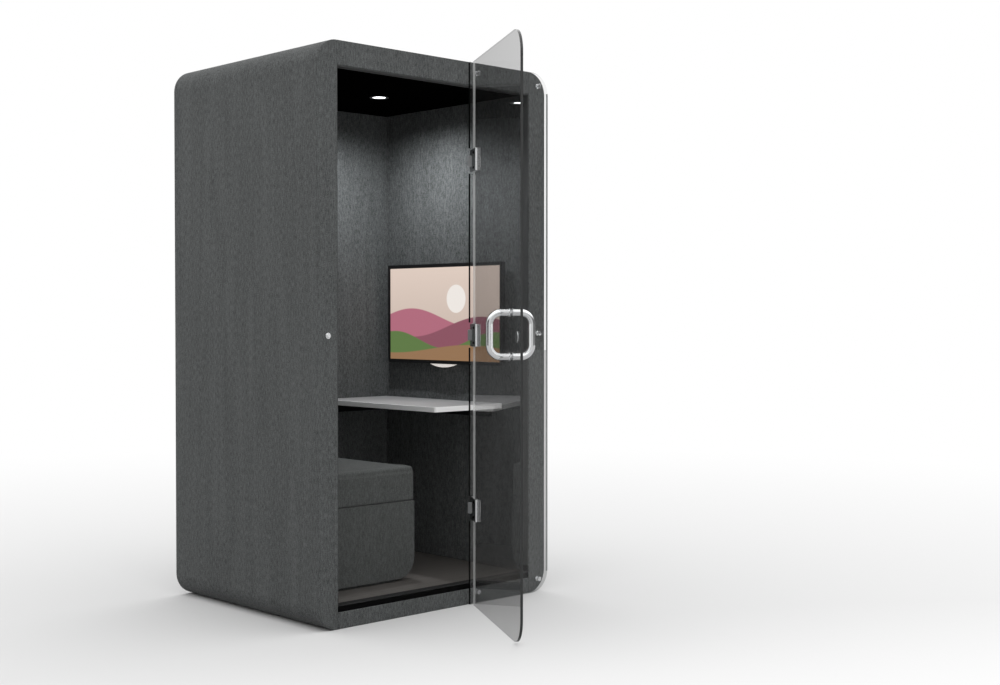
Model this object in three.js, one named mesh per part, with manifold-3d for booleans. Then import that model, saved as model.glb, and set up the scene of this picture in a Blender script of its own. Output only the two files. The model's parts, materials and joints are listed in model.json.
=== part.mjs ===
// One-person acoustic office pod with a glass front, a bench seat, a wall table and a wall screen.
// Millimetres. X runs to the right seen from the front, Y to the back, Z up.
// The origin is on the ground under the middle of the cabin. The door stands open at rest.

import * as THREE from 'three';
import { mergeVertices } from 'three/addons/utils/BufferGeometryUtils.js';
import Module from 'manifold-3d';

const wasm = await Module();
wasm.setup();

// Cabin sizes
const podWidth = 1200;
const podDepth = 1000;
const podHeight = 2210;
const wallThickness = 93;
const backThickness = 52;
const roofThickness = 93;
const floorHeight = 86;
const seamGap = 0.3;

// Allowances of the modelling: a cutter passes the face it opens, and joined bodies enter each other
const overcut = 1;
const overlap = 1;

// Wall build-up, from the inside out: lining, acoustic core, outer shell
const liningThickness = 15;
const shellThickness = 24;
const postDepth = 60;
const shellRim = 55;

// Roof and ceiling
const ceilingThickness = 14;
const roofSheet = 20;
const roofRim = 40;

// Base, floor, sill and feet
const fasciaHeight = 64;
const fasciaDepth = 20;
const floorThickness = 18;
const sillDepth = 25;
const sillSetback = 3;
const baseSheet = 14;
const baseRib = 30;
const baseBays = 5;
const footInset = 95;
const footPadRadius = 24;
const footPadHeight = 8;
const footStemRadius = 6;
const footStemLength = 48;
const footPocketDepth = 20;
const footPocketGap = 2;
const sealWidth = 4;
const sealDepth = 38;

// Bench seat along the left wall
const seatReach = 567;
const seatTop = 563;
const seatSeam = 415;
const seatLift = 11;
const plinthSetback = 14;
const seatFront = -275;
const seatToeRadius = 85;
const seatBoard = 25;
const cushionCrown = 5;
const cushionDrawIn = 2;
const cushionEdgeRadius = 10;
const cushionSegments = [16, 18, 6];

// Table on the right wall
const tableReach = 385;
const tableTopHeight = 800;
const tableThickness = 22;
const tableFront = -335;
const tableCornerRadius = 10;
const cleatLeg = 40;
const cleatThickness = 4;
const cleatInset = 60;

// Screen on the right wall
const screenWidth = 769;
const screenHeight = 450;
const screenCentreY = 5;
const screenCentreZ = 1188;
const screenStandOff = 42;
const bezelDepth = 7;
const bezelBorder = 16;
const bezelRadius = 5;
const panelRecess = 1.5;
const housingDepth = 11;
const housingBulge = 6;
const housingBulgeMargin = 80;
const chinWidth = 176;
const chinDrop = 15;
const chinDepth = 9;
const chinSetback = 1;
const wallPlateWidth = 320;
const wallPlateHeight = 220;
const wallPlateThickness = 4;
const railWidth = 34;

// Glass front
const glassThickness = 10;
const glassStandOff = 10;
const glassFloorGap = 3;
const glassTopGap = 4;
const glassJointGap = 3.5;
const hingeX = 170;
const hingeSetback = 21;

// Stand-offs that carry the fixed pane
const standOffRadius = 10;
const standOffCap = 5;
const standOffChamfer = 1;
const standOffStem = 4;
const standOffHoleGap = 0.8;
const standOffSideInset = 52;
const standOffCornerInset = 57;
const standOffBandInset = 45;
const standOffEdgeInset = 44;
const standOffFootInset = 49;

// Door hinges
const hingeHeight = 90;
const hingeMiddleDrop = 4;
const hingeSpacing = 705;
const hingeKnuckleHeight = 23;
const hingeKnuckleRadius = 10.5;
const hingePinRadius = 4;
const hingePinHead = 3;
const hingePinLip = 2;
const hingeBodyReach = 17;
const hingeNotchReach = 12.5;
const hingeNotchGap = 3;
const fixedPlateReach = 30;
const fixedPlateThickness = 8;
const doorPlateReach = 95;
const doorPlateThickness = 7;
const doorCoverThickness = 3;
const runningGap = 0.3;

// Door hardware
const doorRestAngle = 60.2;
const handleHeight = 187;
const handleRise = 6;
const handleReach = 88;
const handleTube = 26;
const handleBend = 42;
const handleInset = 158;
const handleFlangeRadius = 17;
const handleFlangeHeight = 4;
const handleBoltRadius = 5;
const handleHoleGap = 0.8;
const keeperInset = 48;
const keeperRadius = 21;
const keeperThickness = 2.2;
const catchBaseRadius = 12;
const catchBaseHeight = 3;
const catchMagnetRadius = 8;
const catchAirGap = 0.7;

// Ceiling fan, grilles, downlight, driver and mains inlet
const fanX = -230;
const fanY = 150;
const fanSize = 120;
const fanDepth = 25;
const fanBladeCount = 7;
const fanHubRadius = 20;
const fanTipGap = 3;
const fanFrameWall = 2.5;
const fanShaftRadius = 3;
const fanBladePitch = 38;
const fanBladeChord = 26;
const fanBladeThickness = 2;
const fanBladeRoot = 4;
const fanStrut = 4;
const fanCornerRadius = 6;
const grilleFlange = 12;
const grilleFlangeHeight = 4;
const grilleWall = 5;
const grilleBarCount = 7;
const grilleBarWidth = 4;
const grilleDepth = 12;
const lampX = 106;
const lampY = 9;
const lampRadius = 32;
const lampWall = 2.5;
const lampFlange = 9;
const lampCanHeight = 46;
const lampSpigot = 10;
const lampLensThickness = 3;
const driverInset = 243;
const driverY = 180;
const driverLength = 160;
const driverWidth = 44;
const driverHeight = 30;
const driverEar = 14;
const driverEarHeight = 4;
const inletInset = 220;
const inletHeight = 170;
const inletWidth = 44;
const inletTall = 26;
const inletDepth = 34;
const inletLip = 6;
const inletLipThickness = 3;
const inletWall = 5;
const inletPin = 3;
const inletPinSpacing = 8;

// Places worked out from those sizes
const halfWidth = podWidth / 2;
const frontY = -podDepth / 2;
const backY = podDepth / 2;
const innerX = halfWidth - wallThickness;
const inletX = halfWidth - inletInset;
const driverX = innerX - driverInset;
const innerBackY = backY - backThickness;
const ceilingZ = podHeight - roofThickness;
const ceilingTopZ = ceilingZ + ceilingThickness;
const postBackY = frontY + postDepth;
const glassInnerY = frontY - glassStandOff;
const glassOuterY = glassInnerY - glassThickness;
const glassMidY = (glassInnerY + glassOuterY) / 2;
const glassBottomZ = glassFloorGap;
const glassTopZ = podHeight - glassTopGap;
const fixedPaneX = hingeX - hingeSetback + glassJointGap / 2;
const doorPaneX = fixedPaneX - glassJointGap;
const midZ = podHeight / 2;

// Facets of the round shapes
const roundSides = 24;
const smallSides = 16;
const arcSteps = 6;
const tubeSides = 14;
const tubeSteps = 34;
const quarterArcPull = 4 / 3 * (Math.SQRT2 - 1);

// Turns a closed three.js geometry into a solid that can be cut and joined
function solidFrom(geometry) {
  const bare = geometry.clone();
  bare.deleteAttribute('normal');
  bare.deleteAttribute('uv');
  const merged = mergeVertices(bare, 1e-4);
  const corners = merged.index.array;
  const kept = [];
  for (let i = 0; i < corners.length; i += 3) {
    const [a, b, c] = [corners[i], corners[i + 1], corners[i + 2]];
    if (a !== b && b !== c && c !== a) {
      kept.push(a, b, c);
    }
  }
  const mesh = new wasm.Mesh({
    numProp: 3,
    vertProperties: new Float32Array(merged.attributes.position.array),
    triVerts: new Uint32Array(kept),
  });
  return new wasm.Manifold(mesh);
}

// Turns a solid back into a three.js geometry
function geometryFrom(solid) {
  const mesh = solid.getMesh();
  const geometry = new THREE.BufferGeometry();
  geometry.setAttribute('position', new THREE.BufferAttribute(mesh.vertProperties, 3));
  geometry.setIndex(new THREE.BufferAttribute(mesh.triVerts, 1));
  geometry.computeVertexNormals();
  return geometry;
}

// A block between two corners
function block([x0, y0, z0], [x1, y1, z1]) {
  const geometry = new THREE.BoxGeometry(x1 - x0, y1 - y0, z1 - z0);
  geometry.translate((x0 + x1) / 2, (y0 + y1) / 2, (z0 + z1) / 2);
  return solidFrom(geometry);
}

// A block whose two places along X come in either order
function blockAcross(xA, xB, [y0, z0], [y1, z1]) {
  return block([Math.min(xA, xB), y0, z0], [Math.max(xA, xB), y1, z1]);
}

// A flat outline given some thickness along +Z of its own plane
function slab(shape, depth) {
  return new THREE.ExtrudeGeometry(shape, { depth, bevelEnabled: false, curveSegments: arcSteps });
}

// An outline in X and Z, between two places along Y
function plateAlongY(shape, y0, y1) {
  const geometry = slab(shape, y1 - y0);
  geometry.rotateX(Math.PI / 2);
  geometry.translate(0, y1, 0);
  return solidFrom(geometry);
}

// An outline in Y and Z, between two places along X
function plateAlongX(shape, x0, x1) {
  const geometry = slab(shape, x1 - x0);
  const turn = new THREE.Matrix4().makeBasis(
    new THREE.Vector3(0, 1, 0),
    new THREE.Vector3(0, 0, 1),
    new THREE.Vector3(1, 0, 0),
  );
  geometry.applyMatrix4(turn);
  geometry.translate(x0, 0, 0);
  return solidFrom(geometry);
}

// An outline in X and Y, between two heights
function plateAlongZ(shape, z0, z1) {
  const geometry = slab(shape, z1 - z0);
  geometry.translate(0, 0, z0);
  return solidFrom(geometry);
}

// A rectangle whose corners are rounded one by one, from the lower left, anticlockwise
function roundedRectangle(u0, u1, v0, v1, [r00, r10, r11, r01]) {
  const shape = new THREE.Shape();
  const quarter = Math.PI / 2;
  shape.moveTo(u0 + r00, v0);
  shape.lineTo(u1 - r10, v0);
  if (r10 > 0) {
    shape.absarc(u1 - r10, v0 + r10, r10, -quarter, 0, false);
  }
  shape.lineTo(u1, v1 - r11);
  if (r11 > 0) {
    shape.absarc(u1 - r11, v1 - r11, r11, 0, quarter, false);
  }
  shape.lineTo(u0 + r01, v1);
  if (r01 > 0) {
    shape.absarc(u0 + r01, v1 - r01, r01, quarter, 2 * quarter, false);
  }
  shape.lineTo(u0, v0 + r00);
  if (r00 > 0) {
    shape.absarc(u0 + r00, v0 + r00, r00, 2 * quarter, 3 * quarter, false);
  }
  shape.closePath();
  return shape;
}

// A body of revolution from [radius, height] points that start and end on the axis
function turned(profile, sides) {
  const points = profile.map(([radius, height]) => new THREE.Vector2(radius, height));
  return new THREE.LatheGeometry(points, sides);
}

// A turned body standing on Z
function turnedOnZ(profile, x, y, z, sides = roundSides) {
  const geometry = turned(profile, sides);
  geometry.rotateX(Math.PI / 2);
  geometry.translate(x, y, z);
  return solidFrom(geometry);
}

// A turned body lying along Y, with its profile heights counted towards -Y from the given point
function turnedTowardsFront(profile, x, y, z, sides = roundSides) {
  const geometry = turned(profile, sides);
  geometry.rotateX(Math.PI);
  geometry.translate(x, y, z);
  return solidFrom(geometry);
}

// A plain round bar on Z
function bar(radius, x, y, z0, z1, sides = roundSides) {
  const profile = [[0, 0], [radius, 0], [radius, z1 - z0], [0, z1 - z0]];
  return turnedOnZ(profile, x, y, z0, sides);
}

// A plain round bar along Y, from y0 towards -Y to y1
function barTowardsFront(radius, x, y0, y1, z, sides = roundSides) {
  const profile = [[0, 0], [radius, 0], [radius, y0 - y1], [0, y0 - y1]];
  return turnedTowardsFront(profile, x, y0, z, sides);
}

function join(...solids) {
  return solids.reduce((whole, next) => whole.add(next));
}

function cut(solid, ...tools) {
  return tools.reduce((whole, tool) => whole.subtract(tool), solid);
}

// Finishes
const finishes = {
  fabric: { color: 0x4e4f50, roughness: 0.95, metalness: 0 },
  core: { color: 0x8b8577, roughness: 1, metalness: 0 },
  ceiling: { color: 0x101010, roughness: 0.9, metalness: 0 },
  board: { color: 0x9a8467, roughness: 0.85, metalness: 0 },
  floor: { color: 0x3a332e, roughness: 0.6, metalness: 0 },
  black: { color: 0x0d0d0d, roughness: 0.6, metalness: 0 },
  rubber: { color: 0x121212, roughness: 0.85, metalness: 0 },
  glass: { color: 0xb9bfc0, roughness: 0.05, metalness: 0 },
  chrome: { color: 0xd8dadc, roughness: 0.12, metalness: 1 },
  steel: { color: 0x9a9da0, roughness: 0.4, metalness: 1 },
  tableWhite: { color: 0xb8b8b8, roughness: 0.45, metalness: 0 },
  lamp: { color: 0xfff6e4, roughness: 0.3, metalness: 0 },
  picture: { color: 0xb59a8c, roughness: 0.15, metalness: 0 },
};

function addPiece(group, name, solid, finish) {
  const material = new THREE.MeshStandardMaterial(finishes[finish]);
  const mesh = new THREE.Mesh(geometryFrom(solid), material);
  mesh.name = name;
  group.add(mesh);
}

const pod = new THREE.Group();
const door = new THREE.Group();

// Side walls: a full-height shell with quarter-round outer edges, a core and a lining
function sideWall(name, side) {
  const outer = halfWidth * side;
  const inner = innerX * side;
  const liningX = inner + liningThickness * side;
  const coreX = outer - shellThickness * side;
  const gap = seamGap * side;
  const edge = wallThickness;
  const radii = side < 0 ? [edge, 0, 0, edge] : [0, edge, edge, 0];
  const profile = roundedRectangle(Math.min(inner, outer), Math.max(inner, outer), 0, podHeight, radii);
  const liningLow = [postBackY, floorHeight];
  const liningHigh = [innerBackY, ceilingZ];
  const coreLow = [postBackY + shellRim, floorHeight + shellRim];
  const coreHigh = [backY - shellRim, ceilingZ - shellRim];
  const shell = cut(
    plateAlongY(profile, frontY, backY),
    blockAcross(inner - overcut * side, liningX, liningLow, liningHigh),
    blockAcross(liningX - overcut * side, coreX, coreLow, coreHigh),
  );
  const raised = ([y, z]) => [y + seamGap, z + seamGap];
  const lowered = ([y, z]) => [y - seamGap, z - seamGap];
  const core = blockAcross(liningX + gap, coreX - gap, raised(coreLow), lowered(coreHigh));
  const lining = blockAcross(inner, liningX - gap, raised(liningLow), lowered(liningHigh));
  addPiece(pod, `${name}_outer_shell`, shell, 'fabric');
  addPiece(pod, `${name}_acoustic_core`, core, 'core');
  addPiece(pod, `${name}_inner_lining`, lining, 'fabric');
}

// Back wall between the side walls, with the pocket of the mains inlet
function backWall() {
  const reach = innerX - seamGap;
  const liningY = innerBackY + liningThickness;
  const coreY = backY - shellThickness;
  const coreX = reach - shellRim;
  const coreBottom = floorHeight + shellRim + inletHeight;
  const coreTop = ceilingZ - shellRim;
  const shell = cut(
    block([-reach, liningY, 0], [reach, backY, ceilingTopZ]),
    block([-coreX, liningY - overcut, coreBottom], [coreX, coreY, coreTop]),
    inletBlock(seamGap, inletDepth + seamGap),
  );
  const core = block(
    [-coreX + seamGap, liningY + seamGap, coreBottom + seamGap],
    [coreX - seamGap, coreY - seamGap, coreTop - seamGap],
  );
  const lining = block(
    [-reach, innerBackY, floorHeight + seamGap],
    [reach, liningY - seamGap, ceilingZ - seamGap],
  );
  addPiece(pod, 'back_outer_shell', shell, 'fabric');
  addPiece(pod, 'back_acoustic_core', core, 'core');
  addPiece(pod, 'back_inner_lining', lining, 'fabric');
}

// The space of the mains inlet in the back wall, grown by a clearance
function inletBlock(grow, depth) {
  const reach = inletWidth / 2 + grow;
  const rise = inletTall / 2 + grow;
  return block(
    [inletX - reach, backY - depth, inletHeight - rise],
    [inletX + reach, backY + overcut, inletHeight + rise],
  );
}

// Mains inlet: a lipped socket body with a recess and three contact blades
function mainsInlet() {
  const lipReach = inletWidth / 2 + inletLip;
  const lipRise = inletTall / 2 + inletLip;
  const lipY = backY + seamGap;
  const lip = block(
    [inletX - lipReach, lipY, inletHeight - lipRise],
    [inletX + lipReach, lipY + inletLipThickness, inletHeight + lipRise],
  );
  const recessReach = inletWidth / 2 - inletWall;
  const recessRise = inletTall / 2 - inletWall;
  const recess = block(
    [inletX - recessReach, backY - inletDepth + inletWall, inletHeight - recessRise],
    [inletX + recessReach, backY + inletDepth, inletHeight + recessRise],
  );
  const socket = cut(join(inletBlock(0, inletDepth), lip), recess);
  const blades = [-1, 0, 1].map((place) => {
    const x = inletX + place * inletPinSpacing;
    const z = inletHeight + (place === 0 ? inletPin : -inletPin);
    return block(
      [x - inletPin / 2, backY - inletDepth + inletWall - overlap, z - inletPin / 2],
      [x + inletPin / 2, backY - inletWall, z + inletPin / 2],
    );
  });
  addPiece(pod, 'mains_inlet', join(socket, ...blades), 'black');
}

// Roof tray over the ceiling, and the front band that hides its edge
function roof() {
  const reach = innerX - seamGap;
  const front = postBackY + seamGap;
  const bottom = ceilingTopZ + seamGap;
  const hollow = block(
    [-reach + roofRim, front + roofRim, bottom - overcut],
    [reach - roofRim, backY - roofRim, podHeight - roofSheet],
  );
  const airHole = bar(fanBore() + seamGap, fanX, fanY, ceilingZ, podHeight + overcut);
  const tray = cut(block([-reach, front, bottom], [reach, backY, podHeight]), hollow, airHole);
  const fascia = block([-reach, frontY, ceilingZ], [reach, postBackY, podHeight]);
  addPiece(pod, 'roof_tray', tray, 'fabric');
  addPiece(pod, 'front_top_fascia', fascia, 'fabric');
}

// Ceiling board with the holes of the fan grille and the downlight
function ceilingBoard() {
  const reach = innerX - seamGap;
  const back = innerBackY + liningThickness - seamGap;
  const hole = (radius, x, y) => bar(radius + seamGap, x, y, ceilingZ - overcut, ceilingTopZ + overcut);
  const board = cut(
    block([-reach, postBackY + seamGap, ceilingZ], [reach, back, ceilingTopZ]),
    hole(fanBore(), fanX, fanY),
    hole(lampRadius, lampX, lampY),
  );
  addPiece(pod, 'ceiling_board', board, 'ceiling');
}

// Radius of the air opening that the two grilles fill
function fanBore() {
  return fanSize / 2 + grilleWall;
}

// Base frame: a bottom sheet under a grid of ribs, with solid corners for the feet
function baseFrame() {
  const reach = innerX - seamGap;
  const front = frontY + fasciaDepth + seamGap;
  const back = innerBackY + liningThickness - seamGap;
  const top = floorHeight - floorThickness - seamGap;
  const stepX = 2 * reach / baseBays;
  const stepY = (back - front) / baseBays;
  const isEnd = (bay) => bay === 0 || bay === baseBays - 1;
  const pockets = [];
  for (let column = 0; column < baseBays; column += 1) {
    for (let row = 0; row < baseBays; row += 1) {
      if (!(isEnd(column) && isEnd(row))) {
        const x = -reach + column * stepX;
        const y = front + row * stepY;
        pockets.push(block(
          [x + baseRib / 2, y + baseRib / 2, baseSheet],
          [x + stepX - baseRib / 2, y + stepY - baseRib / 2, top + overcut],
        ));
      }
    }
  }
  const sillLedge = block(
    [-reach - overcut, front - overcut, fasciaHeight - seamGap],
    [reach + overcut, frontY + sillSetback + sillDepth, top + overcut],
  );
  const footHoles = footPlaces().map(([x, y]) => join(
    bar(footPadRadius + footPocketGap, x, y, -overcut, footPocketDepth),
    bar(footStemRadius + seamGap, x, y, 0, footPadHeight + footStemLength + seamGap, smallSides),
  ));
  const whole = block([-reach, front, 0], [reach, back, top]);
  addPiece(pod, 'base_frame', cut(whole, ...pockets, sillLedge, ...footHoles), 'board');
}

function footPlaces() {
  const x = innerX - footInset;
  const front = frontY + fasciaDepth + footInset;
  const back = innerBackY - footInset;
  return [[-x, front], [x, front], [-x, back], [x, back]];
}

// Levelling feet: a screwed stem on a round pad, wound in until the pad is level with the base
function levellingFeet() {
  footPlaces().forEach(([x, y], index) => {
    const profile = [
      [0, 0],
      [footPadRadius, 0],
      [footPadRadius, footPadHeight / 2],
      [footStemRadius, footPadHeight],
      [footStemRadius, footPadHeight + footStemLength],
      [0, footPadHeight + footStemLength],
    ];
    addPiece(pod, `levelling_foot_${index + 1}`, turnedOnZ(profile, x, y, 0, smallSides), 'steel');
  });
}

// Floor board, black sill over the front edge and the fabric fascia below it
function floorAndSill() {
  const reach = innerX - seamGap;
  const sillFront = frontY + sillSetback;
  const sillBack = sillFront + sillDepth;
  const floor = block(
    [-reach, sillBack + seamGap, floorHeight - floorThickness],
    [reach, innerBackY - seamGap, floorHeight],
  );
  const sill = block([-reach, sillFront, fasciaHeight], [reach, sillBack, floorHeight]);
  const fascia = block([-reach, frontY, 0], [reach, frontY + fasciaDepth, fasciaHeight - seamGap]);
  addPiece(pod, 'floor_board', floor, 'floor');
  addPiece(pod, 'threshold_sill', sill, 'black');
  addPiece(pod, 'front_bottom_fascia', fascia, 'fabric');
}

// Rubber seal round the inside of the doorway
function doorwaySeal() {
  const reach = innerX - seamGap;
  const bottom = floorHeight + seamGap;
  const top = ceilingZ - seamGap;
  const outer = roundedRectangle(-reach, reach, bottom, top, [0, 0, 0, 0]);
  const inner = roundedRectangle(
    -reach + sealWidth, reach - sealWidth, bottom + sealWidth, top - sealWidth, [0, 0, 0, 0],
  );
  outer.holes.push(inner);
  const front = frontY + sillSetback;
  addPiece(pod, 'doorway_seal', plateAlongY(outer, front, front + sealDepth), 'rubber');
}

// Bench: a hollow box with a rounded toe on a set-back plinth, open underneath, and a crowned cushion on it
function bench() {
  const left = -innerX + seamGap;
  const right = -innerX + seatReach;
  const back = innerBackY - seamGap;
  const bottom = floorHeight + seatLift;
  const outline = roundedRectangle(left, right, bottom, seatSeam, [0, seatToeRadius, 0, 0]);
  const toe = Math.max(seatToeRadius - seatBoard, 0);
  const hollow = roundedRectangle(
    left + seatBoard, right - seatBoard, bottom - overcut, seatSeam - seatBoard, [0, toe, 0, 0],
  );
  const box = cut(
    plateAlongY(outline, seatFront, back),
    plateAlongY(hollow, seatFront + seatBoard, back - seatBoard),
  );
  const plinthFront = seatFront + plinthSetback;
  const plinthRight = right - seatToeRadius;
  const plinth = cut(
    block([left, plinthFront, floorHeight + seamGap], [plinthRight, back, bottom + overlap]),
    block(
      [left + seatBoard, plinthFront + seatBoard, floorHeight - overcut],
      [plinthRight - seatBoard, back - seatBoard, bottom + overlap + overcut],
    ),
  );
  const base = join(box, plinth);
  const seat = cushion([left, seatFront, seatSeam + seamGap], [right, back, seatTop]);
  addPiece(pod, 'bench_base', base, 'fabric');
  addPiece(pod, 'seat_cushion', seat, 'fabric');
}

// A cushion with a crowned top, a rounded upper edge and sides that draw in between the corners
function cushion([x0, y0, z0], [x1, y1, z1]) {
  const size = new THREE.Vector3(x1 - x0, y1 - y0, z1 - z0);
  const centre = new THREE.Vector3(x0 + x1, y0 + y1, z0 + z1).multiplyScalar(0.5);
  const geometry = new THREE.BoxGeometry(size.x, size.y, size.z, ...cushionSegments);
  const place = geometry.attributes.position;
  const edge = Math.min(cushionEdgeRadius, size.z / 3);
  const sideHeight = size.z - edge - cushionCrown;
  for (let i = 0; i < place.count; i += 1) {
    const u = place.getX(i) / (size.x / 2);
    const v = place.getY(i) / (size.y / 2);
    const t = place.getZ(i) / size.z + 0.5;
    const lift = Math.max(0, (t - 0.5) / 0.5);
    const arc = Math.sin(lift * Math.PI / 2);
    const inset = edge * (1 - Math.cos(lift * Math.PI / 2));
    const waist = Math.sin(t * Math.PI) * cushionDrawIn;
    const drawX = inset + waist * (1 - v * v);
    const drawY = inset + waist * (1 - u * u);
    const crown = cushionCrown * (1 - u * u) * (1 - v * v);
    const height = t <= 0.5 ? t * 2 * sideHeight : sideHeight + edge * arc + crown;
    place.setXYZ(i, u * (size.x / 2 - drawX), v * (size.y / 2 - drawY), height - size.z / 2);
  }
  geometry.translate(centre.x, centre.y, centre.z);
  return solidFrom(geometry);
}

// Wall table: a slab with one rounded free corner, carried by a steel angle on each of two walls
function table() {
  const right = innerX - seamGap;
  const left = innerX - tableReach;
  const back = innerBackY - seamGap;
  const bottom = tableTopHeight - tableThickness;
  const outline = roundedRectangle(left, right, tableFront, back, [tableCornerRadius, 0, 0, 0]);
  addPiece(pod, 'table_top', plateAlongZ(outline, bottom, tableTopHeight), 'tableWhite');
  const top = bottom - seamGap;
  const sideCleat = angleSection(right, top);
  const backCleat = angleSection(back, top);
  const clear = right - cleatLeg - cleatThickness;
  addPiece(pod, 'table_side_cleat', plateAlongY(sideCleat, tableFront + cleatInset, back - seamGap), 'steel');
  addPiece(pod, 'table_back_cleat', plateAlongX(backCleat, left + cleatInset, clear), 'steel');
}

// Steel angle with its corner at the wall and just under the table, its legs down and away from the wall
function angleSection(wall, top) {
  const shape = new THREE.Shape();
  shape.moveTo(wall, top);
  shape.lineTo(wall - cleatLeg, top);
  shape.lineTo(wall - cleatLeg, top - cleatThickness);
  shape.lineTo(wall - cleatThickness, top - cleatThickness);
  shape.lineTo(wall - cleatThickness, top - cleatLeg);
  shape.lineTo(wall, top - cleatLeg);
  shape.closePath();
  return shape;
}

// Screen on a wall plate with two rails
function screen() {
  const y0 = screenCentreY - screenWidth / 2;
  const y1 = screenCentreY + screenWidth / 2;
  const z0 = screenCentreZ - screenHeight / 2;
  const z1 = screenCentreZ + screenHeight / 2;
  const face = innerX - screenStandOff;
  const round = [bezelRadius, bezelRadius, bezelRadius, bezelRadius];
  const square = [0, 0, 0, 0];
  const bezelBack = face + bezelDepth;
  const housingFront = bezelBack + seamGap;
  const housingBack = housingFront + housingDepth;
  const inset = bezelBorder;
  const bezelOutline = roundedRectangle(y0, y1, z0, z1, round);
  bezelOutline.holes.push(roundedRectangle(y0 + inset, y1 - inset, z0 + inset, z1 - inset, square));
  addPiece(pod, 'screen_bezel', plateAlongX(bezelOutline, face, bezelBack), 'black');
  const gap = inset + seamGap;
  const panel = roundedRectangle(y0 + gap, y1 - gap, z0 + gap, z1 - gap, square);
  addPiece(pod, 'screen_panel', plateAlongX(panel, face + panelRecess, bezelBack), 'picture');
  const margin = housingBulgeMargin;
  const bulge = roundedRectangle(y0 + margin, y1 - margin, z0 + margin, z1 - margin, round);
  const housing = join(
    plateAlongX(roundedRectangle(y0, y1, z0, z1, round), housingFront, housingBack),
    plateAlongX(bulge, housingBack - overlap, housingBack + housingBulge),
  );
  addPiece(pod, 'screen_housing', housing, 'black');
  const plateFace = innerX - seamGap;
  const railBack = plateFace - wallPlateThickness;
  const plate = block(
    [railBack, screenCentreY - wallPlateWidth / 2, screenCentreZ - wallPlateHeight / 2],
    [plateFace, screenCentreY + wallPlateWidth / 2, screenCentreZ + wallPlateHeight / 2],
  );
  const rails = [-1, 1].map((side) => {
    const y = screenCentreY + side * (wallPlateWidth / 2 - railWidth);
    return block(
      [housingBack + housingBulge + seamGap, y - railWidth / 2, screenCentreZ - wallPlateHeight / 2],
      [railBack + overlap, y + railWidth / 2, screenCentreZ + wallPlateHeight / 2],
    );
  });
  addPiece(pod, 'screen_wall_bracket', join(plate, ...rails), 'steel');
  const chin = new THREE.Shape();
  const half = chinWidth / 2;
  const radius = (half * half + chinDrop * chinDrop) / (2 * chinDrop);
  const swing = Math.asin(half / radius);
  const down = -Math.PI / 2;
  const chinTop = z0 - seamGap;
  const chinFace = face + chinSetback;
  chin.moveTo(screenCentreY - half, chinTop);
  chin.absarc(screenCentreY, chinTop - chinDrop + radius, radius, down - swing, down + swing, false);
  chin.closePath();
  addPiece(pod, 'screen_chin', plateAlongX(chin, chinFace, chinFace + chinDepth), 'chrome');
}

// Fixed pane, rounded like the wall at its right edge, with stand-off holes and hinge notches
function fixedPane() {
  const edge = wallThickness;
  const outline = roundedRectangle(fixedPaneX, halfWidth, glassBottomZ, glassTopZ, [0, edge, edge, 0]);
  const hole = standOffStem + standOffHoleGap;
  const holes = standOffPlaces().map(([x, z]) => (
    barTowardsFront(hole, x, glassInnerY + overcut, glassOuterY - overcut, z, smallSides)
  ));
  const notchHalf = hingeHeight / 2 + hingePinHead + hingeNotchGap;
  const notches = hingeHeights().map((z) => block(
    [fixedPaneX - overcut, glassOuterY - overcut, z - notchHalf],
    [hingeX + hingeNotchReach, glassInnerY + overcut, z + notchHalf],
  ));
  const pane = cut(plateAlongY(outline, glassOuterY, glassInnerY), ...holes, ...notches);
  addPiece(pod, 'fixed_glass', pane, 'glass');
  standOffPlaces().forEach(([x, z], index) => {
    const bodyEnd = glassStandOff - seamGap;
    const capStart = glassStandOff + glassThickness + seamGap;
    const profile = [
      [0, seamGap],
      [standOffRadius, seamGap],
      [standOffRadius, bodyEnd],
      [standOffStem, bodyEnd],
      [standOffStem, capStart],
      [standOffRadius, capStart],
      [standOffRadius, capStart + standOffCap - standOffChamfer],
      [standOffRadius - standOffChamfer, capStart + standOffCap],
      [0, capStart + standOffCap],
    ];
    addPiece(pod, `stand_off_${index + 1}`, turnedTowardsFront(profile, x, frontY, z, smallSides), 'chrome');
  });
}

// Stand-offs: three down the right post, and one in each band beside the hinges
function standOffPlaces() {
  const right = halfWidth - standOffSideInset;
  const left = fixedPaneX + standOffEdgeInset;
  return [
    [right, podHeight - standOffCornerInset],
    [right, midZ],
    [right, standOffCornerInset],
    [left, podHeight - standOffBandInset],
    [left, standOffFootInset],
  ];
}

// Glass-to-glass hinges: each pin stands in a notch of the fixed pane, so the door swings clear of its edge
function hinges() {
  hingeHeights().forEach((z, index) => {
    const label = `hinge_${index + 1}`;
    addPiece(pod, `${label}_fixed_clamp`, fixedClamp(z), 'chrome');
    addPiece(door, `${label}_door_clamp`, doorClamp(z), 'chrome');
    addPiece(pod, `${label}_pin`, hingePin(z), 'steel');
  });
}

function hingeHeights() {
  return [-1, 0, 1].map((place) => midZ - hingeMiddleDrop + place * hingeSpacing);
}

// Where the outer and the inner plate of a clamp lie on the faces of the pane
function clampFaces(outerThickness, innerThickness) {
  const near = glassThickness / 2 + seamGap;
  const outer = [glassMidY - near - outerThickness, glassMidY - near];
  const inner = [glassMidY + near, glassMidY + near + innerThickness];
  return [outer, inner];
}

// Fixed clamp: a body round the pin in the middle of the notch, and a plate on each face of the pane
function fixedClamp(z) {
  const half = hingeHeight / 2 - hingeKnuckleHeight;
  const [outer, inner] = clampFaces(fixedPlateThickness, fixedPlateThickness);
  const bodyEnd = hingeX + hingeNotchReach - seamGap;
  const body = block([hingeX - hingeBodyReach, outer[0], z - half], [bodyEnd, inner[1], z + half]);
  const plates = [outer, inner].map(([y0, y1]) => (
    block([bodyEnd - overlap, y0, z - half], [hingeX + fixedPlateReach, y1, z + half])
  ));
  return cut(join(body, ...plates), pinHole(z));
}

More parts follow.
